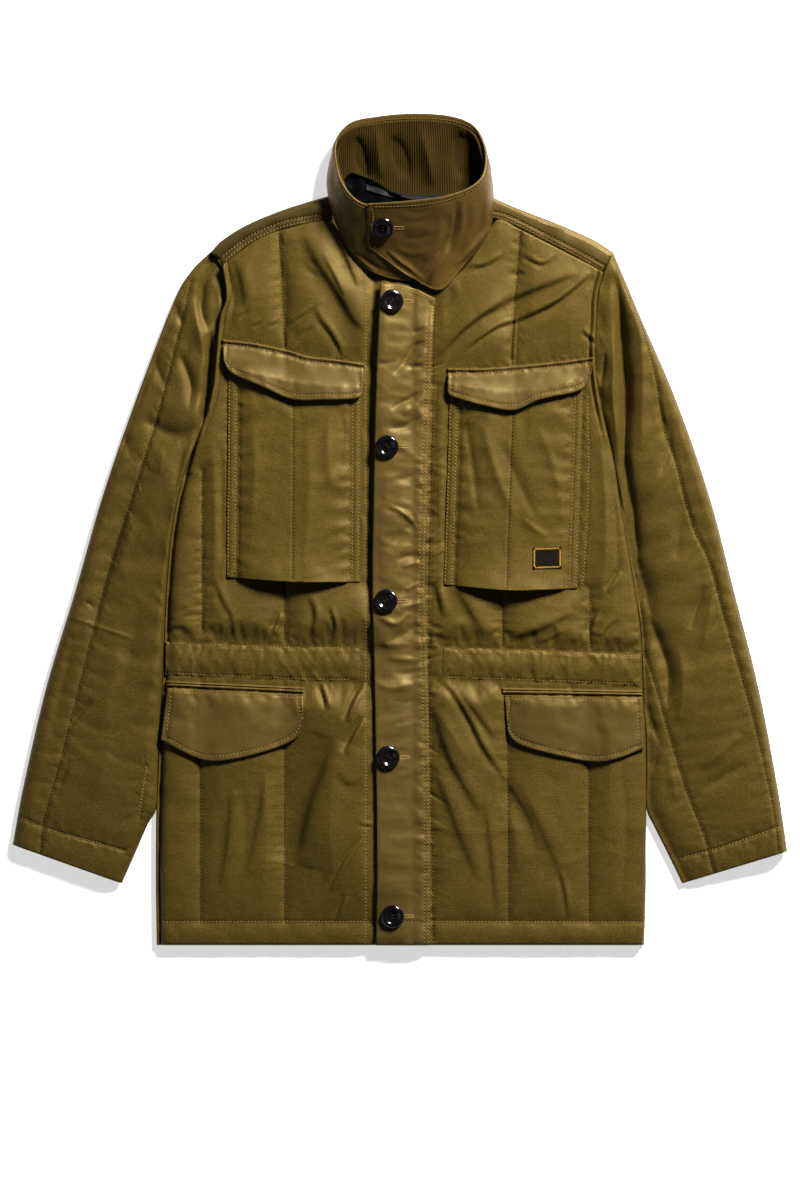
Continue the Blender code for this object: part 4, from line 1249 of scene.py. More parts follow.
def build_front(side):
    """One front: padded between its quilting lines, with its creases, seams and puckers."""
    name = f"front_{side}"
    step = bpy.context.scene.jacket_sizes.cloth_grid / MM
    columns = np.array(FRONTS[side], float)
    arm = armhole_points(side)[1 : YOKE_SEAM_FROM + 1]
    seam = side_points(side)
    seam[:, 0] -= outward(side) * STRIP_OF_BACK[side]
    edge = np.vstack([seam, arm])
    centre_y = np.concatenate([seam[:, 1], np.linspace(seam[-1, 1], columns[-1, 2], len(arm) + 1)[1:]])
    centre = np.stack([np.linspace(columns[-1, 0], columns[-1, 1], len(centre_y)), centre_y], axis=1)
    rows = at_shares(np.hstack([edge, centre]), grid_shares(740, step))
    width = abs(columns[-1, 0] - columns[0, 0])
    hem_x = columns[0, 0] + grid_shares(width, step) * (columns[-1, 0] - columns[0, 0])
    fine = at_shares(columns[:, :3], np.linspace(0, 1, 200))
    order = np.argsort(fine[:, 0])
    top = np.stack([np.interp(hem_x, fine[order, 0], fine[order, axis]) for axis in (1, 2)], axis=1)
    hem = np.stack([hem_x, np.full(len(hem_x), rows[0, 1])], axis=1)
    plan = panel_plan(rows[:, :2], rows[:, 2:], hem, top)

    padding = bpy.context.scene.jacket_sizes.padding
    strength = bpy.context.scene.jacket_sizes.creases
    from_side, from_centre, from_hem, from_top = from_edges(plan)
    share = flat_row_share(plan)
    sewn, from_quilting = seam_height(name, plan, SEAMS[name], 100 if side == "right" else 200)
    bag = CHEST_POCKET[side]
    hidden_lines = [(bag[0][end], bag[1][end]) for end in (0, -1)]
    hidden_lines.append((FRONTS[side][4][1:3], bag[1][1]))
    hidden_lines += [CHEST_FLAP[side][0], HIP_WELT[side][0]]
    from_waist = near_lines(plan, WAIST_CHANNEL[side])
    x, y = plan[..., 0], plan[..., 1]
    from_hidden, from_hem_stitches = near_lines(plan, hidden_lines), np.abs(y - HEM_STITCHES_Y)
    from_held = np.minimum.reduce([from_quilting, from_hidden, from_waist, from_hem_stitches])
    border = np.minimum.reduce([from_side, from_centre, from_hem, from_top])
    held = (from_held < SEAM_HOLD) | (border < EDGE_HOLD)
    upper, lower = (np.interp(x, *np.array(sorted(line), float).T) for line in WAIST_CHANNEL[side])
    under_channel = (y < upper) & (y > lower)
    gathered = np.where(under_channel, 0.006, 0.05 * bell(from_waist, 20))
    drawn, reach = {"right": (0.035, 24), "left": (0.04, 16)}[side]
    uneven = np.clip(0.4 + 0.9 * soft_noise(plan, 42, 17), 0, 1.2)
    slack = 0.001 + gathered + drawn * uneven * bell(from_centre, reach)
    slack = slack + 0.007 * uneven**2 * bell(from_quilting, 10)
    seed = 11 if side == "right" else 12
    puff = puffed(plan, held, slack, (1.015, 1.0), bending=1.2, seed=seed)
    flatter = np.where(under_channel, 0.5, 1 - 0.6 * bell(from_waist, 16))
    calm = 0.7 * np.clip((-150 - y) / 40, 0, 1)
    puff = puff * (1 - calm) + blurred(puff, 10) * calm
    height = FRONT_UNDERSIDE + FRONT_WALL + padding * flatter * puff
    height = height + 1.5 * padded_height(from_quilting, 8) * flatter
    folds = crease_height(plan, CREASES[name]) + fold_height(plan, FOLDS[name])
    height = height + 0.6 * sewn + strength * folds * np.clip(share + 0.4, 0, 1) + crumple(plan, seed, 0.4)
    for number, line in enumerate(WAIST_CHANNEL[side]):
        gathers = pucker_height(plan, line, 17, 1.2, seed + 40 + number, spacing=9.0)
        height = height + gathers * np.clip(1 - under_channel, 0, 1) * np.clip(from_waist / 4, 0, 1)
    if side == "right":
        height = height - 1.8 * bell(from_side, 5.0) * (y < 60)
    else:
        height = height + pucker_height(plan, FLY_SEAM, 13, 1.7, seed + 60, spacing=10)
    by_armhole = np.clip((y - 90) / 40, 0, 1)
    height = height + 3.0 * by_armhole * bell(from_side - 2.5, 3.0)
    height = height + by_armhole * groove(from_side - 7.0, 1.5, 0.9)
    height = np.maximum(height, FRONT_UNDERSIDE + 1.6)
    edge_roll = 2.2 + 1.8 * (y < 130)
    drop = rolled(from_side, edge_roll) + rolled(from_hem, 3.0) + rolled(from_top, 1.6)
    if side == "right":
        dip = bell(x + 29, 9.0) * (y < 285)
        height = height - (1.8 + 3.0 * np.clip((y + 100) / 40, 0, 1)) * dip
    top_skin = with_height(plan, np.maximum(height - drop, FRONT_UNDERSIDE + 0.3))
    under = with_height(plan, FRONT_UNDERSIDE)[::BLOCK, ::BLOCK]
    piece = skin_piece(name + "_panel", top_skin, under, nylon())
    stand_in_for(piece, name)


def build_yoke():
    """The yoke in one piece: flat across the back, folded at each shoulder edge, a tab on each front."""
    tab_steps, neck_steps, fold_steps, tab_rows = 56, 64, 13, 26
    shares = np.linspace(0, 1, tab_steps + 1)
    shoulder = {side: at_shares(SHOULDER_EDGE[side], shares) for side in SIDES}
    seam = {side: at_shares(YOKE_SEAM[side], shares) for side in SIDES}
    neck = at_shares(BACK_NECK, np.linspace(0, 1, neck_steps + 1))[1:-1]
    edge = np.vstack([shoulder["right"], neck, shoulder["left"]])
    arms = np.hstack([armhole_points(side)[BACK_SEAM_FROM:] for side in SIDES])
    arms = evenly(arms, 13)
    back_seam = np.full((len(edge), 2), BACK_YOKE_SEAM_Y)
    back_seam[:, 0] = np.linspace(arms[0, 0], arms[0, 2], len(edge))
    lower = panel_plan(arms[:, :2], arms[:, 2:], back_seam, edge)
    tab_seam = np.vstack([seam["right"], edge[tab_steps + 1 : -tab_steps - 1] - (0, 25), seam["left"]])
    inward = tab_seam - edge
    depth = np.linalg.norm(inward, axis=1)[:, None]
    inward /= depth
    outer_rows = [with_height(lower[:-1], 0.0)]
    inner_rows = [with_height(lower[:-1], YOKE_WALL)]
    half, inner_half = SHOULDER_TOP / 2, SHOULDER_TOP / 2 - YOKE_WALL
    for turn in np.linspace(-90, 90, fold_steps):
        angle = math.radians(turn)
        out, near = half * (1 - math.cos(angle)), half - inner_half * math.cos(angle)
        outer_rows.append(with_height((edge + inward * out)[None], half + half * math.sin(angle)))
        inner_rows.append(with_height((edge + inward * near)[None], half + inner_half * math.sin(angle)))
    for row in range(1, tab_rows + 1):
        share = row / tab_rows
        plan = edge + inward * (half + (depth - half) * share)
        outer_rows.append(with_height(plan[None], SHOULDER_TOP))
        inner_rows.append(with_height(plan[None], SHOULDER_TOP - YOKE_WALL))
    outer, inner = np.concatenate(outer_rows), np.concatenate(inner_rows)
    first_tab = len(lower) - 1 + fold_steps
    tabs = outer[first_tab:, :, :2]
    to_seam = np.linalg.norm(tab_seam[None] - tabs, axis=-1)
    to_ends = np.minimum(*from_edges(tabs)[:2])
    relief = 1.6 * np.sin(np.pi * np.clip(to_seam / 30, 0, 1)) + 0.7 * soft_noise(tabs, 16, 41)
    near_row, far_row = YOKE_STITCHES
    relief += groove(to_seam - near_row, 0.9, 0.45) + groove(to_seam - far_row, 1.4, 0.8)
    relief -= rolled(to_seam, 1.2) + rolled(to_ends, 2.5)
    from_fold = from_edges(tabs)[2]
    relief += np.where(tabs[..., 0] < 0, 3.0, 0.6) * np.clip(to_seam / 24, 0, 1) * (1 - bell(from_fold, 7))
    towards_neck = np.arange(tabs.shape[1]) / tab_steps
    lean = -5.5 * np.clip(1 - towards_neck, 0, 1) * (1 - bell(from_fold, 9))
    relief += lean * np.clip(to_seam / 9, 0, 1)
    for side, line in seam.items():
        relief += pucker_height(tabs, line - (0, -4.0), 5, 0.55, 300 + len(side), spacing=6)
    outer[first_tab:, :, 2] += relief
    inner[first_tab:, :, 2] -= 0.2
    left_out = np.zeros((outer.shape[0] - 1, outer.shape[1] - 1), bool)
    left_out[len(lower) - 1 :, tab_steps : tab_steps + neck_steps] = True
    # Painted shade: the yoke is darkened to half the twill's tone on the right tab and three quarters on
    # the left, grading between them across the back.
    cloth = twill(1.0, (0, -0.08, 0.08, 0.50, 0.76))
    piece = wall_piece("yoke_panel", outer, inner, cloth, left_out=left_out)
    for side in SIDES:
        tab = slice(tab_steps + 1) if side == "right" else slice(-tab_steps - 1, None)
        towards = (edge - tab_seam)[tab]
        towards = towards / np.linalg.norm(towards, axis=1)[:, None]
        for distance in YOKE_STITCHES:
            line = seam[side] + towards * distance
            stitch_lines.append(("yoke", line[2:-2:6]))
    stand_in_for(piece, "yoke")


def build_sleeve(side):
    """A flattened padded tube with round edges, open at the armhole and the cuff."""
    name = f"sleeve_{side}"
    step = bpy.context.scene.jacket_sizes.cloth_grid / MM
    away = np.array([outward(side) * -REST_GAP, 0.0])
    arm_table = armhole_points(side)[::-1] + away
    seam = side_points(side)[::-1] + away
    seam = seam[seam[:, 1] >= SLEEVE_LEAVES_AT_Y]
    inner_table = np.vstack([seam, np.array(SLEEVE_INNER_END[side], float)])
    down_shares = grid_shares(690, step)
    inner_edge = at_shares(inner_table, down_shares)
    outer_edge = at_shares(SLEEVE_OUTER[side], down_shares)
    across_shares = grid_shares(120, step)
    arm = at_shares(arm_table, across_shares)
    down = down_shares[:, None, None]
    across = across_shares[None, :, None]
    plan = outer_edge[:, None] * (1 - across) + inner_edge[:, None] * across
    plan = plan + (1 - down) ** 5 * (arm[None] - arm[0] - across * (arm[-1] - arm[0]))

    from_outer, from_inner, from_arm, from_cuff = from_edges(plan)
    edge = np.minimum(from_outer, from_inner)
    fall = 1 - np.minimum(np.minimum(from_outer / 15.0, from_inner / 24.0), 1)
    round_share = np.sqrt(1 - fall**2)
    thinner = 1 - 0.3 * down[..., 0]
    height = SLEEVE_TOP - SLEEVE_EDGE_Z + SLEEVE_PUFF * thinner
    folds = crease_height(plan, CREASES[name]) * bpy.context.scene.jacket_sizes.creases
    folds = folds + seam_height(name, plan, SEAMS[name], 400 if side == "right" else 500)[0]
    folds = folds + crumple(plan, 21 if side == "right" else 23, 0.25)
    sewn_lines = [points for points, _, _, _, _ in SEAMS[name]]
    from_seams = near_lines(plan, [evenly(points, 30) for points in sewn_lines])
    ends = np.minimum(np.minimum(edge, from_arm), from_cuff)
    held = (ends < EDGE_HOLD) | (from_seams < SEAM_HOLD)
    by_elbow = bell(plan[..., 1] + 90, 120) * bell(from_inner, 30)
    slack = 0.006 + 0.02 * by_elbow + 0.02 * bell(from_arm, 30) + 0.012 * bell(from_seams, 12)
    puff = puffed(plan, held, slack, (1.0, 1.0), 1.0, bending=0.6, seed=24)
    folds = folds + 0.4 * puff
    lean = {"right": 6.0 * np.clip(1.4 - 2.2 * down[..., 0], 0, 1), "left": -4.6}[side]
    folds = folds + lean * (2 * across[..., 0] - 1)
    folds *= np.minimum(edge / 6.0, 1)
    lower = {"right": 0.55, "left": 0.35}[side]
    near_arm = 1 - lower * bell(from_arm, 20.0)
    over = SLEEVE_EDGE_Z + height * round_share * near_arm + folds
    over = over - rolled(from_arm, 1.8) - 0.5 * rolled(from_cuff, 2.0)
    over = np.maximum(over, np.where(from_arm < 40, 2.5, SLEEVE_EDGE_Z) + 0.4 * (edge > 1))
    over[:, [0, -1]] = SLEEVE_EDGE_Z
    below_fall = 1 - np.minimum(edge / 9.0, 1)
    below = SLEEVE_EDGE_Z * (1 - np.sqrt(1 - below_fall**2))

    top = with_height(plan, over)
    under = with_height(plan, below)[:, ::-1][:, BLOCK : -BLOCK : BLOCK]
    outer = np.concatenate([top, under], axis=1)
    hollow_plan = plan[::BLOCK, ::BLOCK]
    inset = np.clip(5.0 - edge[::BLOCK, ::BLOCK], 0, 5)
    towards = np.gradient(hollow_plan, axis=1)
    towards /= np.linalg.norm(towards, axis=-1)[..., None]
    inward = np.where((from_outer < from_inner)[::BLOCK, ::BLOCK], 1.0, -1.0)
    hollow_plan = hollow_plan + towards * (inward * inset)[..., None]
    above = over[::BLOCK, ::BLOCK]
    open_up = 1.2 + 0.45 * np.maximum(above - SLEEVE_EDGE_Z - 5.0, 0)
    open_up[:, [0, -1]] = 0.0
    is_open = open_up > 0
    roof = np.minimum(SLEEVE_EDGE_Z + open_up, above - 0.8 * is_open)
    floor = with_height(hollow_plan, np.minimum(SLEEVE_EDGE_Z - 0.8 * is_open, roof - 0.5 * is_open))
    inner = np.concatenate([with_height(hollow_plan, roof), floor[:, ::-1][:, 1:-1]], axis=1)

    rows, columns = outer.shape[:2]
    low_rows, low_columns = inner.shape[:2]
    count = rows * columns
    quads = skin_quads(rows, columns, tube=True)
    faces = quads.tolist() + skin_quads(low_rows, low_columns, tube=True, first=count)[:, ::-1].tolist()
    top_count = top.shape[1]
    match = list(range(0, top_count, BLOCK)) + list(range(top_count, columns))
    for row, low_row, turn in ((0, 0, False), (rows - 1, low_rows - 1, True)):
        for place in range(low_columns):
            start = match[place]
            end = match[place + 1] if place + 1 < low_columns else columns
            run = [row * columns + column % columns for column in range(start, end + 1)]
            low = [count + low_row * low_columns + (place + more) % low_columns for more in (0, 1)]
            face = run[::-1] + low
            faces.append(face[::-1] if turn else face)
    points = np.concatenate([outer.reshape(-1, 3), inner.reshape(-1, 3)])
    if facing_down(top):
        faces = [face[::-1] for face in faces]
    # Painted shade: both sleeves are darker copies of the shell cloth, the right one more.
    cloth = {"right": nylon(-17, 0.90), "left": nylon(15, 0.95)}[side]
    piece = add_mesh(name + "_tube", points, faces, cloth)
    keep_ground(name, outer.reshape(-1, 3), quads)
    stand_in_for(piece, name)


def collar_surface(table, shares):
    """The collar's outer surface at the given shares of its height, and the direction out of it."""
    neck, rim, bulge = table[:, :3], table[:, 3:6], table[:, 6]
    share = np.asarray(shares)
    share = share[:, None, None] if share.ndim == 1 else share[..., None]
    surface = neck[None] * (1 - share) + rim[None] * share
    rise = np.maximum(share[..., 0], 0) ** COLLAR_STEEPNESS
    surface[..., 2] = neck[None, :, 2] + (rim - neck)[None, :, 2] * rise
    out = np.cross(np.gradient(surface, axis=1), np.broadcast_to(rim - neck, surface.shape))
    out /= np.linalg.norm(out, axis=-1)[..., None]
    middle = len(table) // 2
    if out[0, middle, 2] > 0:
        out = -out
    return surface + out * bulge[None, :, None] * np.sin(np.pi * np.clip(share, 0, 1)), out


def build_collar():
    """The stand collar, an open strip whose left end laps over its right, and the rib lining inside it."""
    table = evenly(COLLAR, 261)
    rows = np.concatenate([[0, 0.008, 0.02], np.linspace(0.04, 0.955, 40), [0.975, 0.99, 1]])
    surface, out = collar_surface(table, rows)
    along = run_along(table[:, 3:6])
    low, high = rows[:, None] * COLLAR_HEIGHT, (1 - rows[:, None]) * COLLAR_HEIGHT
    place = np.stack(np.broadcast_arrays(along[None], low), axis=-1)
    ends = np.minimum(along, along[-1] - along)[None]
    relief = crumple(place, 51, 0.5) + 0.4 * soft_noise(place, 22, 53)
    relief = relief + groove(high - COLLAR_RIM_STITCHES, 1.1, 0.6) + groove(low - 3.0, 1.1, 0.5)
    relief = relief + groove(ends - COLLAR_END_STITCHES, 1.1, 0.5)
    stitched = COLLAR_HEIGHT - COLLAR_RIM_STITCHES
    rim_line = np.array([(0, stitched), (along[-1] / 2, stitched), (along[-1], stitched)])
    relief = relief + pucker_height(place, rim_line, 5, 0.4, 55, spacing=7)
    relief = relief + 1.15 * crease_height(surface[..., :2], CREASES["collar"])
    edge = np.minimum(np.minimum(low, high), ends + np.zeros_like(low))
    relief = relief - rolled(edge, 1.1)
    outer = surface + out * relief[..., None]
    outer[..., 2] = np.maximum(outer[..., 2], 0.0)
    inner = surface - out * (COLLAR_WALL - rolled(edge, 1.0) - 0.3 * relief)[..., None]
    piece = wall_piece("collar_stand", outer, inner, collar_twill(), smooth_angle=75)
    stand_in_for(piece, "collar")

    rib_table = evenly(COLLAR[1:16], 901)
    flat = np.clip((6.0 - rib_table[:, 2]) / 5.0, 0, 1)
    lowest = np.interp(rib_table[:, 0], (-60, -52, -30, -5, 11), (0.26, 0.26, 0.14, -0.07, -0.15))
    lowest = 0.10 + (lowest - 0.10) * flat
    rib_rows = lowest[None] + np.linspace(0, 1, 17)[:, None] * (0.90 - lowest[None])
    rib_surface, rib_out = collar_surface(rib_table, rib_rows)
    run = run_along(rib_table[:, :3])
    place = np.stack(np.broadcast_arrays(run[None], rib_rows * COLLAR_HEIGHT), axis=-1)
    ribs = 0.38 * np.cos(math.tau * (run[None] + 0.8 * soft_noise(place, 24, 61)) / 2.5)
    creased = crease_height(rib_surface[..., :2], CREASES["collar_rib"])
    loose = soft_noise(place * (1, 0.45), 17, 63) + 3.6 + creased * 1.9
    near = COLLAR_WALL + REST_GAP
    face = near + RIB_WALL + ribs + np.maximum(loose, 0.3)
    piece = wall_piece(
        "collar_rib_lining",
        rib_surface - rib_out * near,
        rib_surface - rib_out * face[..., None],
        plain_finish("rib_knit", bpy.context.scene.jacket_colours.rib, 0.8, 1400, 0.0001),
        smooth_angle=80,
    )
    stand_in_for(piece, "collar_rib")
    collar_stitches(table, relief)


def collar_stitches(table, relief):
    """Rows round the collar's rim, outside and inside, and down its lapped end."""
    raised = np.median(relief)
    rows = []
    for distance, lift in ((COLLAR_RIM_STITCHES, raised + 0.2), (COLLAR_END_STITCHES, -COLLAR_WALL - 0.3)):
        surface, out = collar_surface(table, [1 - distance / COLLAR_HEIGHT])
        rows.append((surface[0] + out[0] * lift)[4:-4])
    surface, out = collar_surface(table, np.linspace(0.06, 0.93, 60))
    run = run_along(table[:, 3:6])
    column = int(np.searchsorted(run, run[-1] - COLLAR_END_STITCHES))
    rows.append(surface[:, column] + out[:, column] * (raised + 0.35))
    ends = np.concatenate([np.stack(stitch_ends(line), axis=1) for line in rows])
    colour, width = bpy.context.scene.jacket_colours.collar_thread, thread_width()
    finish = plain_finish("collar_thread", colour, 0.55, 2600, 0.00005)
    go_with_jacket(strands_mesh("stitches_collar", ends, finish, width, 0.25))


def strip_piece(name, node, slot, plan, height, thickness, finish, flat, rests_on, held="laid", area=None):
    """A laid piece with a rounded edge, from its plan and the height of its face."""
    edge = np.minimum.reduce(from_edges(plan))
    top = with_height(plan, height - rolled(edge, min(1.2, thickness * 0.6)))
    under = with_height(plan, height - thickness)[::BLOCK, ::BLOCK]
    piece = skin_piece(name, top, under, finish)
    stand_in_for(piece, node)


def two_edge_plan(edges, step, depth):
    """A grid between an upper and a lower edge."""
    across = grid_shares(length_of(edges[0]), step)
    down = grid_shares(depth, step)
    return ruled(at_shares(edges[0], across), at_shares(edges[1], across), down)


def build_neck_inside():
    """The lining at the back neck and the hanger loop over it."""
    colours = bpy.context.scene.jacket_colours
    plan = two_edge_plan(NECK_LINING, 2.0, 62)
    over_collar = (laid_on(plan, ["collar"], 6, LINING_Z) + 0.6 - LINING_Z).clip(0, 10)
    on_collar = np.clip((plan[..., 1] - 364) / 4, 0, 1) * over_collar
    height = LINING_Z + on_collar + 1.2 * soft_noise(plan, 18, 71) + 0.6 * soft_noise(plan, 8, 72)
    lining = plain_finish("neck_satin", colours.lining, 0.6, 1500, 0.00004, sheen=0.0, specular=0.02)
    flat, below = (0.155, 0.088), ["yoke_panel"]
    strip_piece(
        "neck_lining_cloth", "neck_lining", "lining", plan, height, 0.8, lining, flat, below, area=0.0105
    )
    middle = at_shares(HANGER_LOOP_PATH, grid_shares(102, 1.2))
    half = np.array([0.0, HANGER_LOOP_WIDTH / 2])
    plan = ruled(middle + half, middle - half, grid_shares(7, 0.8))
    height = laid_on(plan, ["neck_lining", "collar_rib"], 6, 3.0) + 1.2
    height = height + 0.15 * np.sin(from_edges(plan)[2] * math.tau / 1.4)
    tape = plain_finish("loop_tape", colours.tape, 0.55, 1100, 0.00006, sheen=0.15)
    below = ["neck_lining_cloth"]
    strip_piece("hanger_loop_tape", "hanger_loop", "tape", plan, height, 0.9, tape, (0.103, 0.01), below)


def build_fly():
    """The storm fly, doubly stitched along its sewn edge, with wrinkles drawn from the stitching."""
    step = 1.7
    table = np.array(FLY, float)
    up = grid_shares(712, step)
    left = at_shares([*table[:, [1, 0]], FLY_TOP[0]], up)
    right = at_shares([*table[:, [2, 0]], FLY_TOP[-1]], up)
    across = grid_shares(58, step)
    top = at_shares(FLY_TOP, across)
    hem = ruled(left[0], right[0], across)[:, 0]
    plan = panel_plan(left, right, hem, top)
    height = laid_on(plan, ["front_right", "front_left"], 30) + 2.8
    from_free, from_sewn, _, _ = from_edges(plan)
    lifted = 1.6 + 2.6 * np.clip((plan[..., 1] + 100) / 40, 0, 1)
    height = height + lifted * bell(from_free, 12.0)
    sewn = [inset_line(plan, "columns", distance, last=True) for distance in FLY_STITCHES]
    for line in sewn:
        height = height + line_groove(plan, line[::12], 1.1, 0.7)
        stitch_lines.append(("fly", line[2:-2:12]))
    height = height + pucker_height(plan, sewn[1][::12], 7, 0.7, 610, spacing=5.5)
    drawn = 1.4 - 0.7 * np.clip((-120 - plan[..., 1]) / 80, 0, 1)
    height = height + 1.6 * np.sin(np.pi * np.clip(from_sewn / 50, 0, 1))
    height = height + drawn * crease_height(plan, CREASES["fly"])
    hem_line = inset_line(plan, "rows", 25.0)
    height = height + line_groove(plan, hem_line[::6], 1.4, 0.6) + crumple(plan, 620, 0.5)
    stitch_lines.append(("fly", hem_line[2:-6:4]))
    top_line = inset_line(plan, "rows", 4.5, last=True)
    stitch_lines.append(("fly", top_line[2:-6:4]))
    # Painted light: the fly's tone rises from 0.94 low down to 1.24 towards its top.
    cloth = twill(1.0, (1, -0.2, 0.24, 0.94, 1.24))
    below = ["front_right_panel", "front_left_panel"]
    strip_piece("fly_panel", "fly", "twill", plan, height, 2.2, cloth, (0.06, 0.715), below, area=0.0415)


def build_waist_channel(side):
    """The gathered band at the waist, between two stitched rows."""
    name = f"waist_channel_{side}"
    plan = two_edge_plan(WAIST_CHANNEL[side], 1.8, 38)
    from_first, from_last, from_upper, from_lower = from_edges(plan)
    middle = np.minimum(from_upper, from_lower)
    edge = np.minimum.reduce([middle, from_first, from_last])
    seed = 700 if side == "right" else 720
    held = (edge < EDGE_HOLD) | (np.abs(middle - CHANNEL_STITCHES) < 0.9)
    slack = 0.01 + 0.06 * bell(middle, 9)
    gathers = puffed(plan, held, slack, (1.03, 1.0), 0.8, bending=0.8, seed=seed)
    ground = heights_over(plan, [f"front_{side}"])
    share = np.clip(middle / 6, 0, 1)
    ground = ground * (1 - share) + blurred(ground, 8) * share
    height = ground + 0.3 + 0.3 * gathers - 0.4 * bell(edge, 0.9)
    for number, last in enumerate((False, True)):
        line = inset_line(plan, "rows", CHANNEL_STITCHES, last=last)
        height = height + line_groove(plan, line[::8], 1.1, 0.5)
        height = height + pucker_height(plan, line[::8], 15, 1.5, seed + 30 + number, spacing=7.5)
        stitch_lines.append((name, line[1:-1:8]))
    cut = {"flat": (0.215, 0.039), "held": "gathered", "area": 0.0078}
    strip_piece(
        name + "_band", name, "nylon", plan, height, 1.2, nylon(), rests_on=[f"front_{side}_panel"], **cut
    )


def build_chest_pocket(side):
    """A bag between two stitched side folds, raised along its open lower edge."""
    name = f"chest_pocket_{side}"
    plan = two_edge_plan(CHEST_POCKET[side], 1.9, 208)
    ground = laid_on(plan, [f"front_{side}"], 200)
    from_first, from_last, from_upper, from_lower = from_edges(plan)
    across = from_first / (from_first + from_last)
    down = from_upper / (from_upper + from_lower)
    border = np.minimum(from_first, from_last)
    fold = 1 / (1 + np.exp((border - 10.5) / 0.5))
    inside = np.clip((border - 11) / 20, 0, 1)
    field = 3.2 * np.sin(np.pi / 2 * inside) ** 0.8
    mouth = 8.0 * np.sin(np.pi * across) ** 1.6 * np.clip((down - 0.72) / 0.28, 0, 1) ** 2
    height = ground + 0.2 + 0.3 * fold + 0.5 * field * (1 - fold) - 1.2 * bell(border - 12, 2.0) + mouth
    seed = 800 if side == "right" else 830
    outer_row, inner_row = BAG_STITCHES
    by_row = (np.abs(border - outer_row) < 1.0) | (np.abs(border - inner_row) < 1.0)
    held = (np.minimum(border, from_upper) < EDGE_HOLD) | by_row
    uneven = 0.55 + 0.6 * soft_noise(plan, 48, seed + 3)
    slack = 0.003 + 0.05 * uneven.clip(0.1) * bell(border - inner_row, 14) * (border > inner_row)
    height = height + 0.6 * puffed(plan, held, slack, (1.003, 1.0), 0.8, seed=seed)
    rows = [(distance, last, 4, stitch_lines) for last in (False, True) for distance in BAG_STITCHES]
    rows.append((72 if side == "right" else 76, False, 7, seam_lines))
    for number, (distance, last, reach, kept) in enumerate(rows):
        line = inset_line(plan, "columns", distance, last=last)
        height = height + line_groove(plan, line[::14], 1.1, 0.6)
        height = height + pucker_height(plan, line[::14], reach, 0.3, seed + number, spacing=7)
        kept.append((name, line[1:-1:14]))
    height = height + crease_height(plan, CREASES[name]) * np.clip(border / 14, 0, 1)
    height = height + crumple(plan, seed + 9, 0.2) * np.clip(border / 14, 0.2, 1)
    # Painted light: the right bag is a lighter copy of the shell cloth.
    cloth = nylon(2, {"right": 1.07, "left": 1.0}[side])
    below = [f"front_{side}_panel"]
    strip_piece(name + "_bag", name, "nylon", plan, height, 1.4, cloth, (0.148, 0.212), below, area=0.0305)


def build_flap(kind, edges, side, below, piping):
    """A pocket flap with a stitched border; a chest flap also has a piped fold along its top."""
    name = f"{kind}_{side}"
    depth = 44 if piping else 68
    plan = two_edge_plan(edges, 1.6, depth)
    height = laid_on(plan, below, 40 if piping else 160) + (2.0 if piping else 1.5)
    from_first, from_last, from_upper, from_lower = from_edges(plan)
    down = from_upper / (from_upper + from_lower)
    height = height + (3.6 if piping else 1.8) * (1 - np.cos(np.pi * down)) / 2
    border = np.minimum(np.minimum(from_first, from_last), from_lower)
    seed = (900 if piping else 950) + (0 if side == "right" else 20)
    upper_row = FLAP_STITCHES if piping else 2.0
    by_row = (np.abs(border - FLAP_STITCHES) < 0.9) | (np.abs(from_upper - upper_row) < 0.9)
    held = by_row | (border < EDGE_HOLD) | (from_upper < EDGE_HOLD)
    uneven = 0.5 + 0.5 * soft_noise(plan, 26, seed + 7)
    slack = 0.003 + (0.01 if piping else 0.05) * uneven * bell(from_upper, 16)
    slack = slack + 0.008 * uneven * bell(border, 9)
    puff = puffed(plan, held, slack, (1.0, 1.0), 0.6, bending=1.0, seed=seed)
    height = height + (0.3 if piping else 0.35) * puff + groove(border - FLAP_STITCHES, 1.1, 0.6)
    upper_line = inset_line(plan, "rows", upper_row)
    stitch_lines.append((name, upper_line[2:-2:8]))
    if piping:
        height = height + 1.3 * bell(from_upper - 1.8, 1.6) + groove(from_upper - upper_row, 2.0, 1.3)
        height = height + pucker_height(plan, upper_line[::8], 3.0, 0.8, seed, spacing=2.6)
    else:
        height = height + groove(from_upper - upper_row, 1.0, 0.5)
    rows = plan.shape[0]
    start, end = int(rows * 0.16), int(rows * (0.8 if piping else 0.86))
    for last in (False, True):
        line = inset_line(plan, "columns", FLAP_STITCHES, last=last)
        stitch_lines.append((name, line[start:end:4]))
    lower_line = inset_line(plan, "rows", FLAP_STITCHES, last=True)
    stitch_lines.append((name, lower_line[6:-6:6]))
    height = height + pucker_height(plan, lower_line[::8], 5, 0.4, seed + 1, spacing=7)
    height = height + crumple(plan, seed + 3, 0.15) * np.clip(border / 8, 0.1, 1)
    # Painted shade: the right chest flap and the left hip flap are darker copies of the twill.
    cloth = twill({"chest_flap_right": 0.88, "hip_flap_left": 0.89}.get(name, 1.0))
    flat = (0.157, depth * MM + 0.012)
    strip_piece(name + "_cloth", name, "twill", plan, height, 2.0, cloth, flat, [f"front_{side}_panel"])


def build_hip_welt(side):
    """Two piped lips with a dark slit between them."""
    name = f"hip_welt_{side}"
    across = grid_shares(length_of(HIP_WELT[side][0]), 1.8)
    upper, lower = (at_shares(edge, across) for edge in HIP_WELT[side])
    plan = ruled(upper, lower, grid_shares(9.0, 0.42))
    _, _, from_upper, from_lower = from_edges(plan)
    share = from_upper / (from_upper + from_lower)
    lips = bell(share - 0.24, 0.17) + bell(share - 0.76, 0.17)
    height = laid_on(plan, [f"front_{side}"], 10) + 0.4 + 1.7 * lips + 0.25 * soft_noise(plan, 12, 991)
    below = [f"front_{side}_panel"]
    strip_piece(name + "_lips", name, "twill", plan, height, 1.0, twill(), (0.151, 0.0105), below)


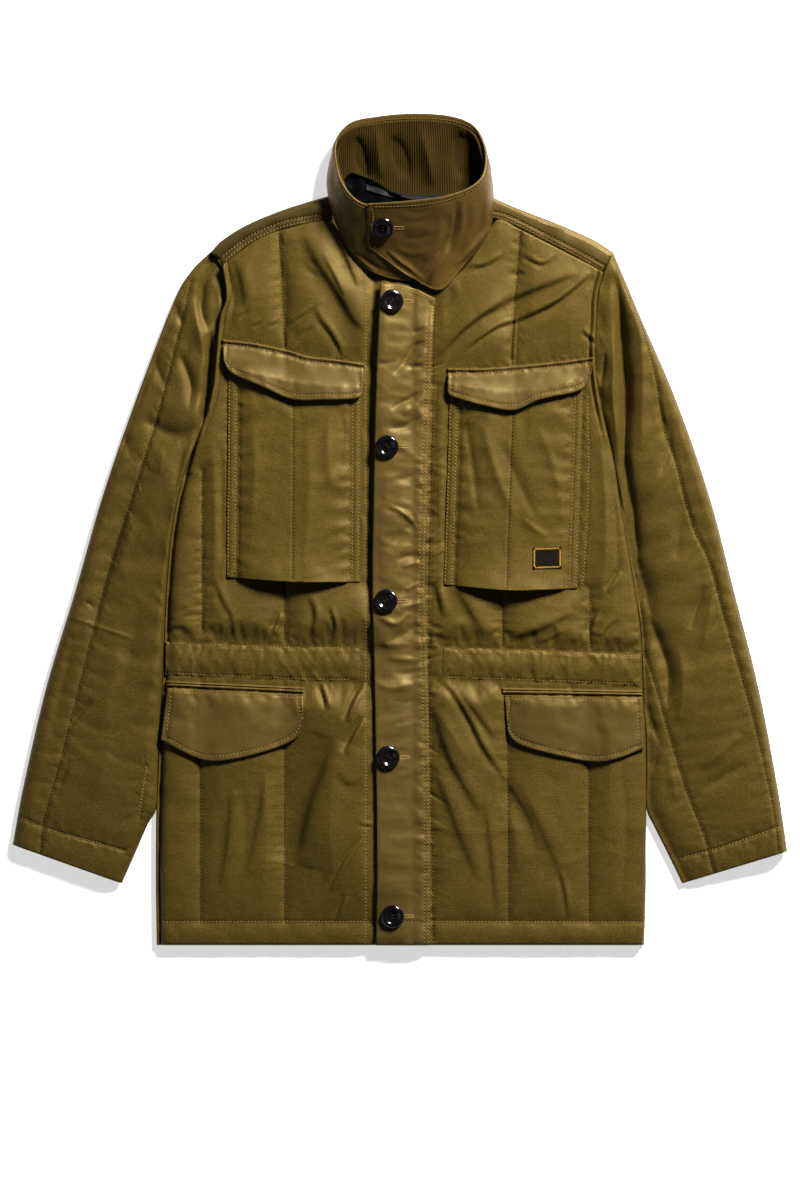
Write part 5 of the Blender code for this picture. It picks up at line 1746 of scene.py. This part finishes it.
def build_label():
    """A plain woven label with a stitched amber border and no lettering."""
    colours = bpy.context.scene.jacket_colours
    plan = two_edge_plan(LABEL, 0.9, 23)
    height = laid_on(plan, ["chest_pocket_left"], 20, 15) + 0.9
    woven = plain_finish("label_weave", colours.label, 0.7, 2600, 0.0001, sheen=0.0, specular=0.05)
    flat, below = (0.031, 0.023), ["chest_pocket_left_bag"]
    strip_piece("pocket_label_cloth", "pocket_label", "label", plan, height, 0.8, woven, flat, below)
    strands = []
    for kind, last in (("rows", False), ("columns", True), ("rows", True), ("columns", False)):
        line = inset_line(plan, kind, 1.5, last=last)[3:-3]
        for point, after in zip(line[:-1], line[1:]):
            along = after - point
            normal = np.array([-along[1], along[0]]) / np.linalg.norm(along)
            for share in (0.0, 0.5):
                middle = point + share * along
                strands.append((middle - normal * 0.9, middle + normal * 0.9))
    border = plain_finish("label_border", colours.label_border, 0.55, 1800, 0.00005)
    stitches_between("pocket_label_border", strands, ["pocket_label"], border, 0.28, 0.22)


# Buttons


def button_mesh():
    """A turned button with a sunk middle and four holes."""
    turned = bmesh.new()
    rim = [turned.verts.new(Vector((radius, 0, height))) for radius, height in BUTTON_PROFILE]
    edges = [turned.edges.new(pair) for pair in zip(rim, rim[1:])]
    turn = {"cent": (0, 0, 0), "axis": (0, 0, 1), "steps": 72, "angle": math.tau}
    bmesh.ops.spin(turned, geom=rim + edges, use_merge=True, **turn)
    bmesh.ops.remove_doubles(turned, verts=turned.verts[:], dist=0.001)
    bmesh.ops.recalc_face_normals(turned, faces=turned.faces[:])
    bmesh.ops.scale(turned, vec=(MM, MM, MM), verts=turned.verts[:])
    solid = bpy.data.meshes.new("button_blank")
    turned.to_mesh(solid)
    turned.free()
    blank = linked("button_blank", solid)
    drills = bmesh.new()
    diagonal, radius = 0.7071, BUTTON_HOLE_RADIUS * MM
    for east, north in ((1, 1), (-1, 1), (-1, -1), (1, -1)):
        place = Matrix.Translation(Vector((east, north, 0)) * BUTTON_HOLE_REACH * diagonal * MM)
        drilled = {"segments": 18, "radius1": radius, "radius2": radius, "depth": 12 * MM}
        bmesh.ops.create_cone(drills, cap_ends=True, matrix=place, **drilled)
    drill_mesh = bpy.data.meshes.new("button_drills")
    drills.to_mesh(drill_mesh)
    drills.free()
    drill = linked("button_drills", drill_mesh)
    cut = blank.modifiers.new("holes", "BOOLEAN")
    cut.operation = "DIFFERENCE"
    cut.object = drill
    graph = bpy.context.evaluated_depsgraph_get()
    made = bpy.data.meshes.new_from_object(blank.evaluated_get(graph))
    for item in (blank, drill):
        bpy.data.objects.remove(item)
    made.shade_smooth()
    made.set_sharp_from_angle(angle=math.radians(35))
    return made


def seat_of(name, x, y):
    """The place and tilt in which a flat round thing rests on a piece."""
    reach = BUTTON_RADIUS * 0.9
    turns = np.linspace(0, math.tau, 16, endpoint=False)
    ring = [(reach * math.cos(turn), reach * math.sin(turn)) for turn in turns]
    spots = np.array([(x, y)] + [(x + east, y + north) for east, north in ring])
    heights = heights_over(spots, [name], 12.0)
    fit = np.linalg.lstsq(np.c_[spots - (x, y), np.ones(len(spots))], heights, rcond=None)[0]
    normal = Vector((-fit[0], -fit[1], 1.0)).normalized()
    above = (heights - (np.c_[spots - (x, y), np.ones(len(spots))] @ fit)).max()
    return Vector((x, y, fit[2] + max(0.0, above) * 0.6)), normal


def build_buttons():
    """Six glossy four-hole buttons with their thread, and the buttonholes beside them."""
    colours = bpy.context.scene.jacket_colours
    mesh = button_mesh()
    mesh.materials.clear()
    mesh.materials.append(button_finish("button_plastic", colours.button))
    thread = plain_finish("button_thread", colours.button_thread, 0.6, 2600, 0.00004)
    holes = []
    for number, (name, (x, y)) in enumerate(BUTTONS.items()):
        below = "collar" if name == "button_collar" else "fly"
        place, normal = seat_of(below, x, y)
        piece = linked(name + "_turned", mesh)
        spin = Matrix.Rotation(math.radians(17 + 31 * number), 4, "Z")
        tilt = normal.to_track_quat("Z", "Y").to_matrix().to_4x4()
        piece.matrix_world = Matrix.Translation((place + normal * 0.3) * MM) @ tilt @ spin
        bpy.context.view_layer.update()
        stand_in_for(piece, name)
        strands = []
        for north in (1, -1):
            for shift in (-0.35, 0.0, 0.35):
                ends = [Vector((east * 1.63, north * 1.63 + shift, 2.1)) for east in (-1, 1)]
                strands.append([piece.matrix_world @ (end * MM) / MM for end in ends])
        tied = strands_mesh(name + "_thread", strands, thread, 0.45, 0.3)
        go_with_jacket(tied)
        holes.append((name, below, x + BUTTON_RADIUS, y))
    cloth = plain_finish("buttonhole_thread", shade(colours.thread, 1.6), 0.6, 2400, 0.00005)
    # Painted shade: a near-black strand along each buttonhole stands for the dark of its opening.
    dark = plain_finish("buttonhole_slit", (0.004, 0.003, 0.002, 1), 0.9, 2000, 0.00002, sheen=0.0)
    for name, below, x, y in holes:
        strands = []
        for share in np.linspace(0, 1, 19):
            for up in (1, -1):
                middle = np.array([x + BUTTONHOLE_LENGTH * share, y])
                strands.append((middle + (0, up * 0.45), middle + (0, up * 2.0)))
        for share in np.linspace(-1, 1, 6):
            middle = np.array([x + BUTTONHOLE_LENGTH + 0.5, y + share * 1.4])
            strands.append((middle - (0.6, 0), middle + (0.8, 0)))
        number = name.split("_")[1]
        stitches_between(f"buttonhole_{number}", strands, [below], cloth, 0.36, 0.3)
        # The slit's strand is painted shade.
        slit = [((x, y), (x + BUTTONHOLE_LENGTH, y))]
        stitches_between(f"buttonhole_{number}_slit", slit, [below], dark, 0.5, 0.12)


# Stitches

# A stitch's outline. Columns: share of its length from its middle, thickness, height.
STITCH_RINGS = (
    (-0.5, 0.0, -0.9), (-0.42, 0.7, -0.25), (0.0, 1.0, 0.35), (0.42, 0.7, -0.25), (0.5, 0.0, -0.9),
)
# Given for the height where a stitch has no cloth below it.
NOTHING_BELOW = -50.0


def thread_width():
    return bpy.context.scene.jacket_sizes.thread_width / MM


def stitch_ends(line):
    """Where the stitches along a line of points start, and where they stop."""
    sizes = bpy.context.scene.jacket_sizes
    length, gap = sizes.stitch_length / MM, sizes.stitch_gap / MM
    run = run_along(line)
    starts = np.arange(gap, run[-1] - length, length + gap)
    return [
        np.stack([np.interp(starts + more, run, axis) for axis in line.T], axis=1) for more in (0, length)
    ]


def strands_mesh(name, ends, finish, width, rise):
    """One mesh of short threads, each from one 3-D point to another and bowed up between them."""
    starts = np.array([tuple(start) for start, _ in ends], float)
    stops = np.array([tuple(stop) for _, stop in ends], float)
    middle, along = (starts + stops) / 2, stops - starts
    length = np.linalg.norm(along, axis=1)[:, None]
    along = along / np.maximum(length, 1e-9)
    side = np.cross(np.array([0.0, 0.0, 1.0]), along)
    side /= np.maximum(np.linalg.norm(side, axis=1)[:, None], 1e-9)
    over = np.cross(along, side)
    turns = [side, over, -side, -over]
    points, ring = [], len(turns)
    for share, thick, high in STITCH_RINGS:
        centre = middle + along * share * (length + width) + over * (high * rise)
        if thick == 0.0:
            points.append(centre[:, None])
            continue
        points.append(np.stack([centre + turn * thick * width / 2 for turn in turns], axis=1))
    cloud = np.concatenate(points, axis=1)
    last = cloud.shape[1] - 1
    faces = [(0, 1 + (i + 1) % ring, 1 + i) for i in range(ring)]
    for level in range(len(STITCH_RINGS) - 3):
        base = 1 + level * ring
        for i in range(ring):
            after = (i + 1) % ring
            faces.append((base + i, base + after, base + ring + after, base + ring + i))
    base = last - ring
    faces += [(base + i, base + (i + 1) % ring, last) for i in range(ring)]
    every = []
    for number in range(len(cloud)):
        shift = number * cloud.shape[1]
        every += [tuple(index + shift for index in face) for face in faces]
    return add_mesh(name, cloud.reshape(-1, 3), every, finish, 80)


def stitches_between(name, ends, below, finish, width, rise):
    """Threads from one plan point to another, laid on the pieces named."""
    flat = np.array(ends, float)
    heights = heights_over(flat, below, NOTHING_BELOW)
    kept = (heights > NOTHING_BELOW).all(axis=1)
    solid = with_height(flat[kept], heights[kept] + 0.05)
    if not len(solid):
        raise RuntimeError(f"{name} lies on nothing")
    go_with_jacket(strands_mesh(name, list(solid), finish, width, rise))


def build_stitching():
    """Every stitched row, one mesh for each piece that carries it."""
    colours = bpy.context.scene.jacket_colours
    pale = plain_finish("sewing_thread", colours.thread, 0.55, 2600, 0.00005)
    # The seam thread is near black: partly the thread's colour, partly painted shade in the seams'
    # grooves.
    dark = plain_finish("seam_thread", colours.seam_thread, 0.6, 2600, 0.00005)
    rows = {}
    for kind, lines in (("stitches", stitch_lines), ("seams", seam_lines)):
        for name, points in lines:
            start, stop = stitch_ends(evenly(points, 60 + 20 * len(points)))
            along = stop - start
            slant = 0.30 * np.stack([-along[:, 1], along[:, 0]], axis=1)
            rows.setdefault((kind, name), []).append(np.stack([start - slant, stop + slant], axis=1))
    for (kind, name), groups in rows.items():
        finish = pale if kind == "stitches" else dark
        ends = np.concatenate(groups)
        stitches_between(f"{kind}_{name}", ends, [name], finish, thread_width(), 0.22)


# Stage

STAGE_SIZE = 60.0
CAMERA_AIM = (0.0, -0.0761, 0.0)
CAMERA_HEIGHT = 6.0
VIEW_LONG_SIDE = 1.296
SENSOR = 36.0
KEY_FROM = (0.46, 0.69, 0.50)
FILL_FROM = (-0.75, -0.35, 0.6)
# The fill light's share of the main light's power, and the strength of the sky.
FILL_SHARE = 0.034
SKY_STRENGTH = 0.034


def area_light(name, direction, distance, size, power, colour=(1, 1, 1)):
    light = bpy.data.lights.new(name, "AREA")
    light.shape = "DISK"
    light.size = size
    light.energy = power
    light.color = colour
    lamp = linked(name, light)
    way = Vector(direction).normalized()
    lamp.location = Vector(CAMERA_AIM) + way * distance
    lamp.rotation_euler = way.to_track_quat("Z", "Y").to_euler()


def build_stage():
    """A pale floor, soft light from the upper right, and the camera straight above."""
    scene = bpy.context.scene
    sizes = scene.jacket_sizes
    mesh = bpy.data.meshes.new("floor")
    half = STAGE_SIZE / 2
    z = FLOOR_Z * MM
    corners = [(-half, -half, z), (half, -half, z), (half, half, z), (-half, half, z)]
    mesh.from_pydata(corners, [], [(0, 1, 2, 3)])
    floor_finish = Finish("floor")
    cloudy = floor_finish.noise(3.0, 2.0)
    tone = floor_finish.spread(cloudy, 0.3, 0.7, 0.93, 0.95)
    fed = dict.fromkeys(("Red", "Green", "Blue"), tone)
    white = floor_finish.add("ShaderNodeCombineColor", fed).outputs[0]
    glow = {"emission_color": (1.0, 1.0, 1.0, 1.0), "emission_strength": 0.6}
    mesh.materials.append(floor_finish.finish(white, 0.9, **glow))
    floor = linked("floor", mesh)
    area_light("key", KEY_FROM, 3.6, 0.9, sizes.key_power, (1.0, 0.98, 0.95))
    area_light("fill", FILL_FROM, 5.0, 4.0, sizes.key_power * FILL_SHARE, (0.95, 0.97, 1.0))
    world = bpy.data.worlds.new("studio")
    world.use_nodes = True
    sky = world.node_tree.nodes["Background"]
    sky.inputs["Color"].default_value = (1, 1, 1, 1)
    sky.inputs["Strength"].default_value = SKY_STRENGTH
    scene.world = world
    scene.view_settings.view_transform = "Standard"
    scene.view_settings.look = "None"
    camera = bpy.data.cameras.new("camera")
    camera.sensor_fit = "AUTO"
    camera.sensor_width = SENSOR
    camera.lens = SENSOR * CAMERA_HEIGHT / VIEW_LONG_SIDE
    camera.clip_end = 50
    eye = linked("camera", camera)
    eye.location = Vector(CAMERA_AIM) + Vector((0, 0, CAMERA_HEIGHT))
    scene.camera = eye


# Add-on


def millimetres(name, description, default):
    told = {"name": name, "description": description, "default": default * MM}
    return FloatProperty(**told, min=0.0, unit="LENGTH", precision=4)


def strength(name, description, default, most):
    return FloatProperty(name=name, description=description, default=default, min=0.0, max=most)


def colour(name, description, value):
    told = {"name": name, "description": description, "default": value}
    return FloatVectorProperty(**told, size=3, subtype="COLOR", min=0, max=1)


class JacketSizes(bpy.types.PropertyGroup):
    cloth_grid: millimetres("Cloth grid", "Distance between the points of the large panels", 1.7)
    padding: strength("Padding", "How full the padding is", 1.1, 1.5)
    creases: strength("Creases", "How strong the creases are", 1.15, 2.0)
    stitch_length: millimetres("Stitch length", "Length of one stitch that shows", 2.1)
    stitch_gap: millimetres("Stitch gap", "Distance from one stitch to the next", 1.7)
    thread_width: millimetres("Thread", "Width of the sewing thread", 1.0)
    key_power: FloatProperty(
        name="Key light", description="Power of the main light", default=450.0, unit="POWER"
    )


class JacketColours(bpy.types.PropertyGroup):
    nylon: colour("Shell", "Colour of the shell cloth", (0.052, 0.0335, 0.0050))
    twill: colour("Twill", "Colour of the fly, flaps and yoke", (0.064, 0.0405, 0.0086))
    collar: colour("Collar", "Colour of the collar", (0.050, 0.028, 0.0056))
    rib: colour("Rib", "Colour of the collar's rib lining", (0.0190, 0.0114, 0.0025))
    lining: colour("Lining", "Colour of the neck lining", (0.0009, 0.0009, 0.0009))
    tape: colour("Loop", "Colour of the hanger loop", (0.009, 0.009, 0.0093))
    thread: colour("Thread", "Colour of the stitches", (0.175, 0.112, 0.034))
    collar_thread: colour("Collar thread", "Colour of the stitches on the collar", (0.105, 0.066, 0.019))
    # Near black: partly the thread's colour, partly painted shade in the seams' grooves.
    seam_thread: colour("Seam thread", "Colour of the stitches in the seams", (0.020, 0.012, 0.003))
    label: colour("Label", "Colour of the label", (0.004, 0.0035, 0.003))
    label_border: colour("Label border", "Colour of the label's border", (0.45, 0.24, 0.03))
    button: colour("Buttons", "Colour of the buttons", (0.003, 0.0025, 0.0025))
    button_thread: colour("Button thread", "Colour of the thread in the buttons", (0.010, 0.008, 0.007))


class JACKET_OT_stage(bpy.types.Operator):
    """Add the floor, the lights and the camera"""

    bl_idname = "jacket.stage"
    bl_label = "Stage"

    def execute(self, context):
        build_stage()
        return {"FINISHED"}


class JACKET_OT_back(bpy.types.Operator):
    """Build the back"""

    bl_idname = "jacket.back"
    bl_label = "Back"

    def execute(self, context):
        build_back()
        return {"FINISHED"}


class JACKET_OT_fronts(bpy.types.Operator):
    """Build both fronts"""

    bl_idname = "jacket.fronts"
    bl_label = "Fronts"

    def execute(self, context):
        for side in SIDES:
            build_front(side)
        return {"FINISHED"}


class JACKET_OT_yoke(bpy.types.Operator):
    """Build the yoke"""

    bl_idname = "jacket.yoke"
    bl_label = "Yoke"

    def execute(self, context):
        build_yoke()
        return {"FINISHED"}


class JACKET_OT_sleeves(bpy.types.Operator):
    """Build both sleeves"""

    bl_idname = "jacket.sleeves"
    bl_label = "Sleeves"

    def execute(self, context):
        for side in SIDES:
            build_sleeve(side)
        return {"FINISHED"}


class JACKET_OT_collar(bpy.types.Operator):
    """Build the collar, its rib lining, the neck lining and the hanger loop"""

    bl_idname = "jacket.collar"
    bl_label = "Collar"

    def execute(self, context):
        build_collar()
        build_neck_inside()
        return {"FINISHED"}


class JACKET_OT_fly(bpy.types.Operator):
    """Build the storm fly"""

    bl_idname = "jacket.fly"
    bl_label = "Storm fly"

    def execute(self, context):
        build_fly()
        return {"FINISHED"}


class JACKET_OT_waist(bpy.types.Operator):
    """Build the gathered waist channels"""

    bl_idname = "jacket.waist"
    bl_label = "Waist channels"

    def execute(self, context):
        for side in SIDES:
            build_waist_channel(side)
        return {"FINISHED"}


class JACKET_OT_chest_pockets(bpy.types.Operator):
    """Build the chest pockets with their flaps and the label"""

    bl_idname = "jacket.chest_pockets"
    bl_label = "Chest pockets"

    def execute(self, context):
        for side in SIDES:
            build_chest_pocket(side)
            below = [f"front_{side}", f"chest_pocket_{side}"]
            build_flap("chest_flap", CHEST_FLAP[side], side, below, piping=True)
        build_label()
        return {"FINISHED"}


class JACKET_OT_hip_pockets(bpy.types.Operator):
    """Build the hip pockets' welts and flaps"""

    bl_idname = "jacket.hip_pockets"
    bl_label = "Hip pockets"

    def execute(self, context):
        for side in SIDES:
            build_hip_welt(side)
            build_flap("hip_flap", HIP_FLAP[side], side, [f"front_{side}"], piping=False)
        return {"FINISHED"}


class JACKET_OT_buttons(bpy.types.Operator):
    """Build the buttons and buttonholes"""

    bl_idname = "jacket.buttons"
    bl_label = "Buttons"

    def execute(self, context):
        build_buttons()
        return {"FINISHED"}


class JACKET_OT_stitching(bpy.types.Operator):
    """Sew the stitched rows"""

    bl_idname = "jacket.stitching"
    bl_label = "Stitching"

    def execute(self, context):
        build_stitching()
        return {"FINISHED"}


OPERATORS = (
    JACKET_OT_stage,
    JACKET_OT_back,
    JACKET_OT_fronts,
    JACKET_OT_yoke,
    JACKET_OT_sleeves,
    JACKET_OT_collar,
    JACKET_OT_fly,
    JACKET_OT_waist,
    JACKET_OT_chest_pockets,
    JACKET_OT_hip_pockets,
    JACKET_OT_buttons,
    JACKET_OT_stitching,
)


class JACKET_PT_panel(bpy.types.Panel):
    bl_label = "Field jacket"
    bl_space_type = "VIEW_3D"
    bl_region_type = "UI"
    bl_category = "Field jacket"

    def draw(self, context):
        for group in (context.scene.jacket_sizes, context.scene.jacket_colours):
            for key in group.__annotations__:
                self.layout.prop(group, key)
        for operator in OPERATORS:
            self.layout.operator(operator.bl_idname)


CLASSES = (JacketSizes, JacketColours, *OPERATORS, JACKET_PT_panel)


def register():
    for item in CLASSES:
        bpy.utils.register_class(item)
    bpy.types.Scene.jacket_sizes = PointerProperty(type=JacketSizes)
    bpy.types.Scene.jacket_colours = PointerProperty(type=JacketColours)


def unregister():
    del bpy.types.Scene.jacket_colours
    del bpy.types.Scene.jacket_sizes
    for item in reversed(CLASSES):
        bpy.utils.unregister_class(item)


def main():
    register()
    for operator in OPERATORS:
        group, name = operator.bl_idname.split(".")
        getattr(getattr(bpy.ops, group), name)()


if __name__ == "__main__":
    main()
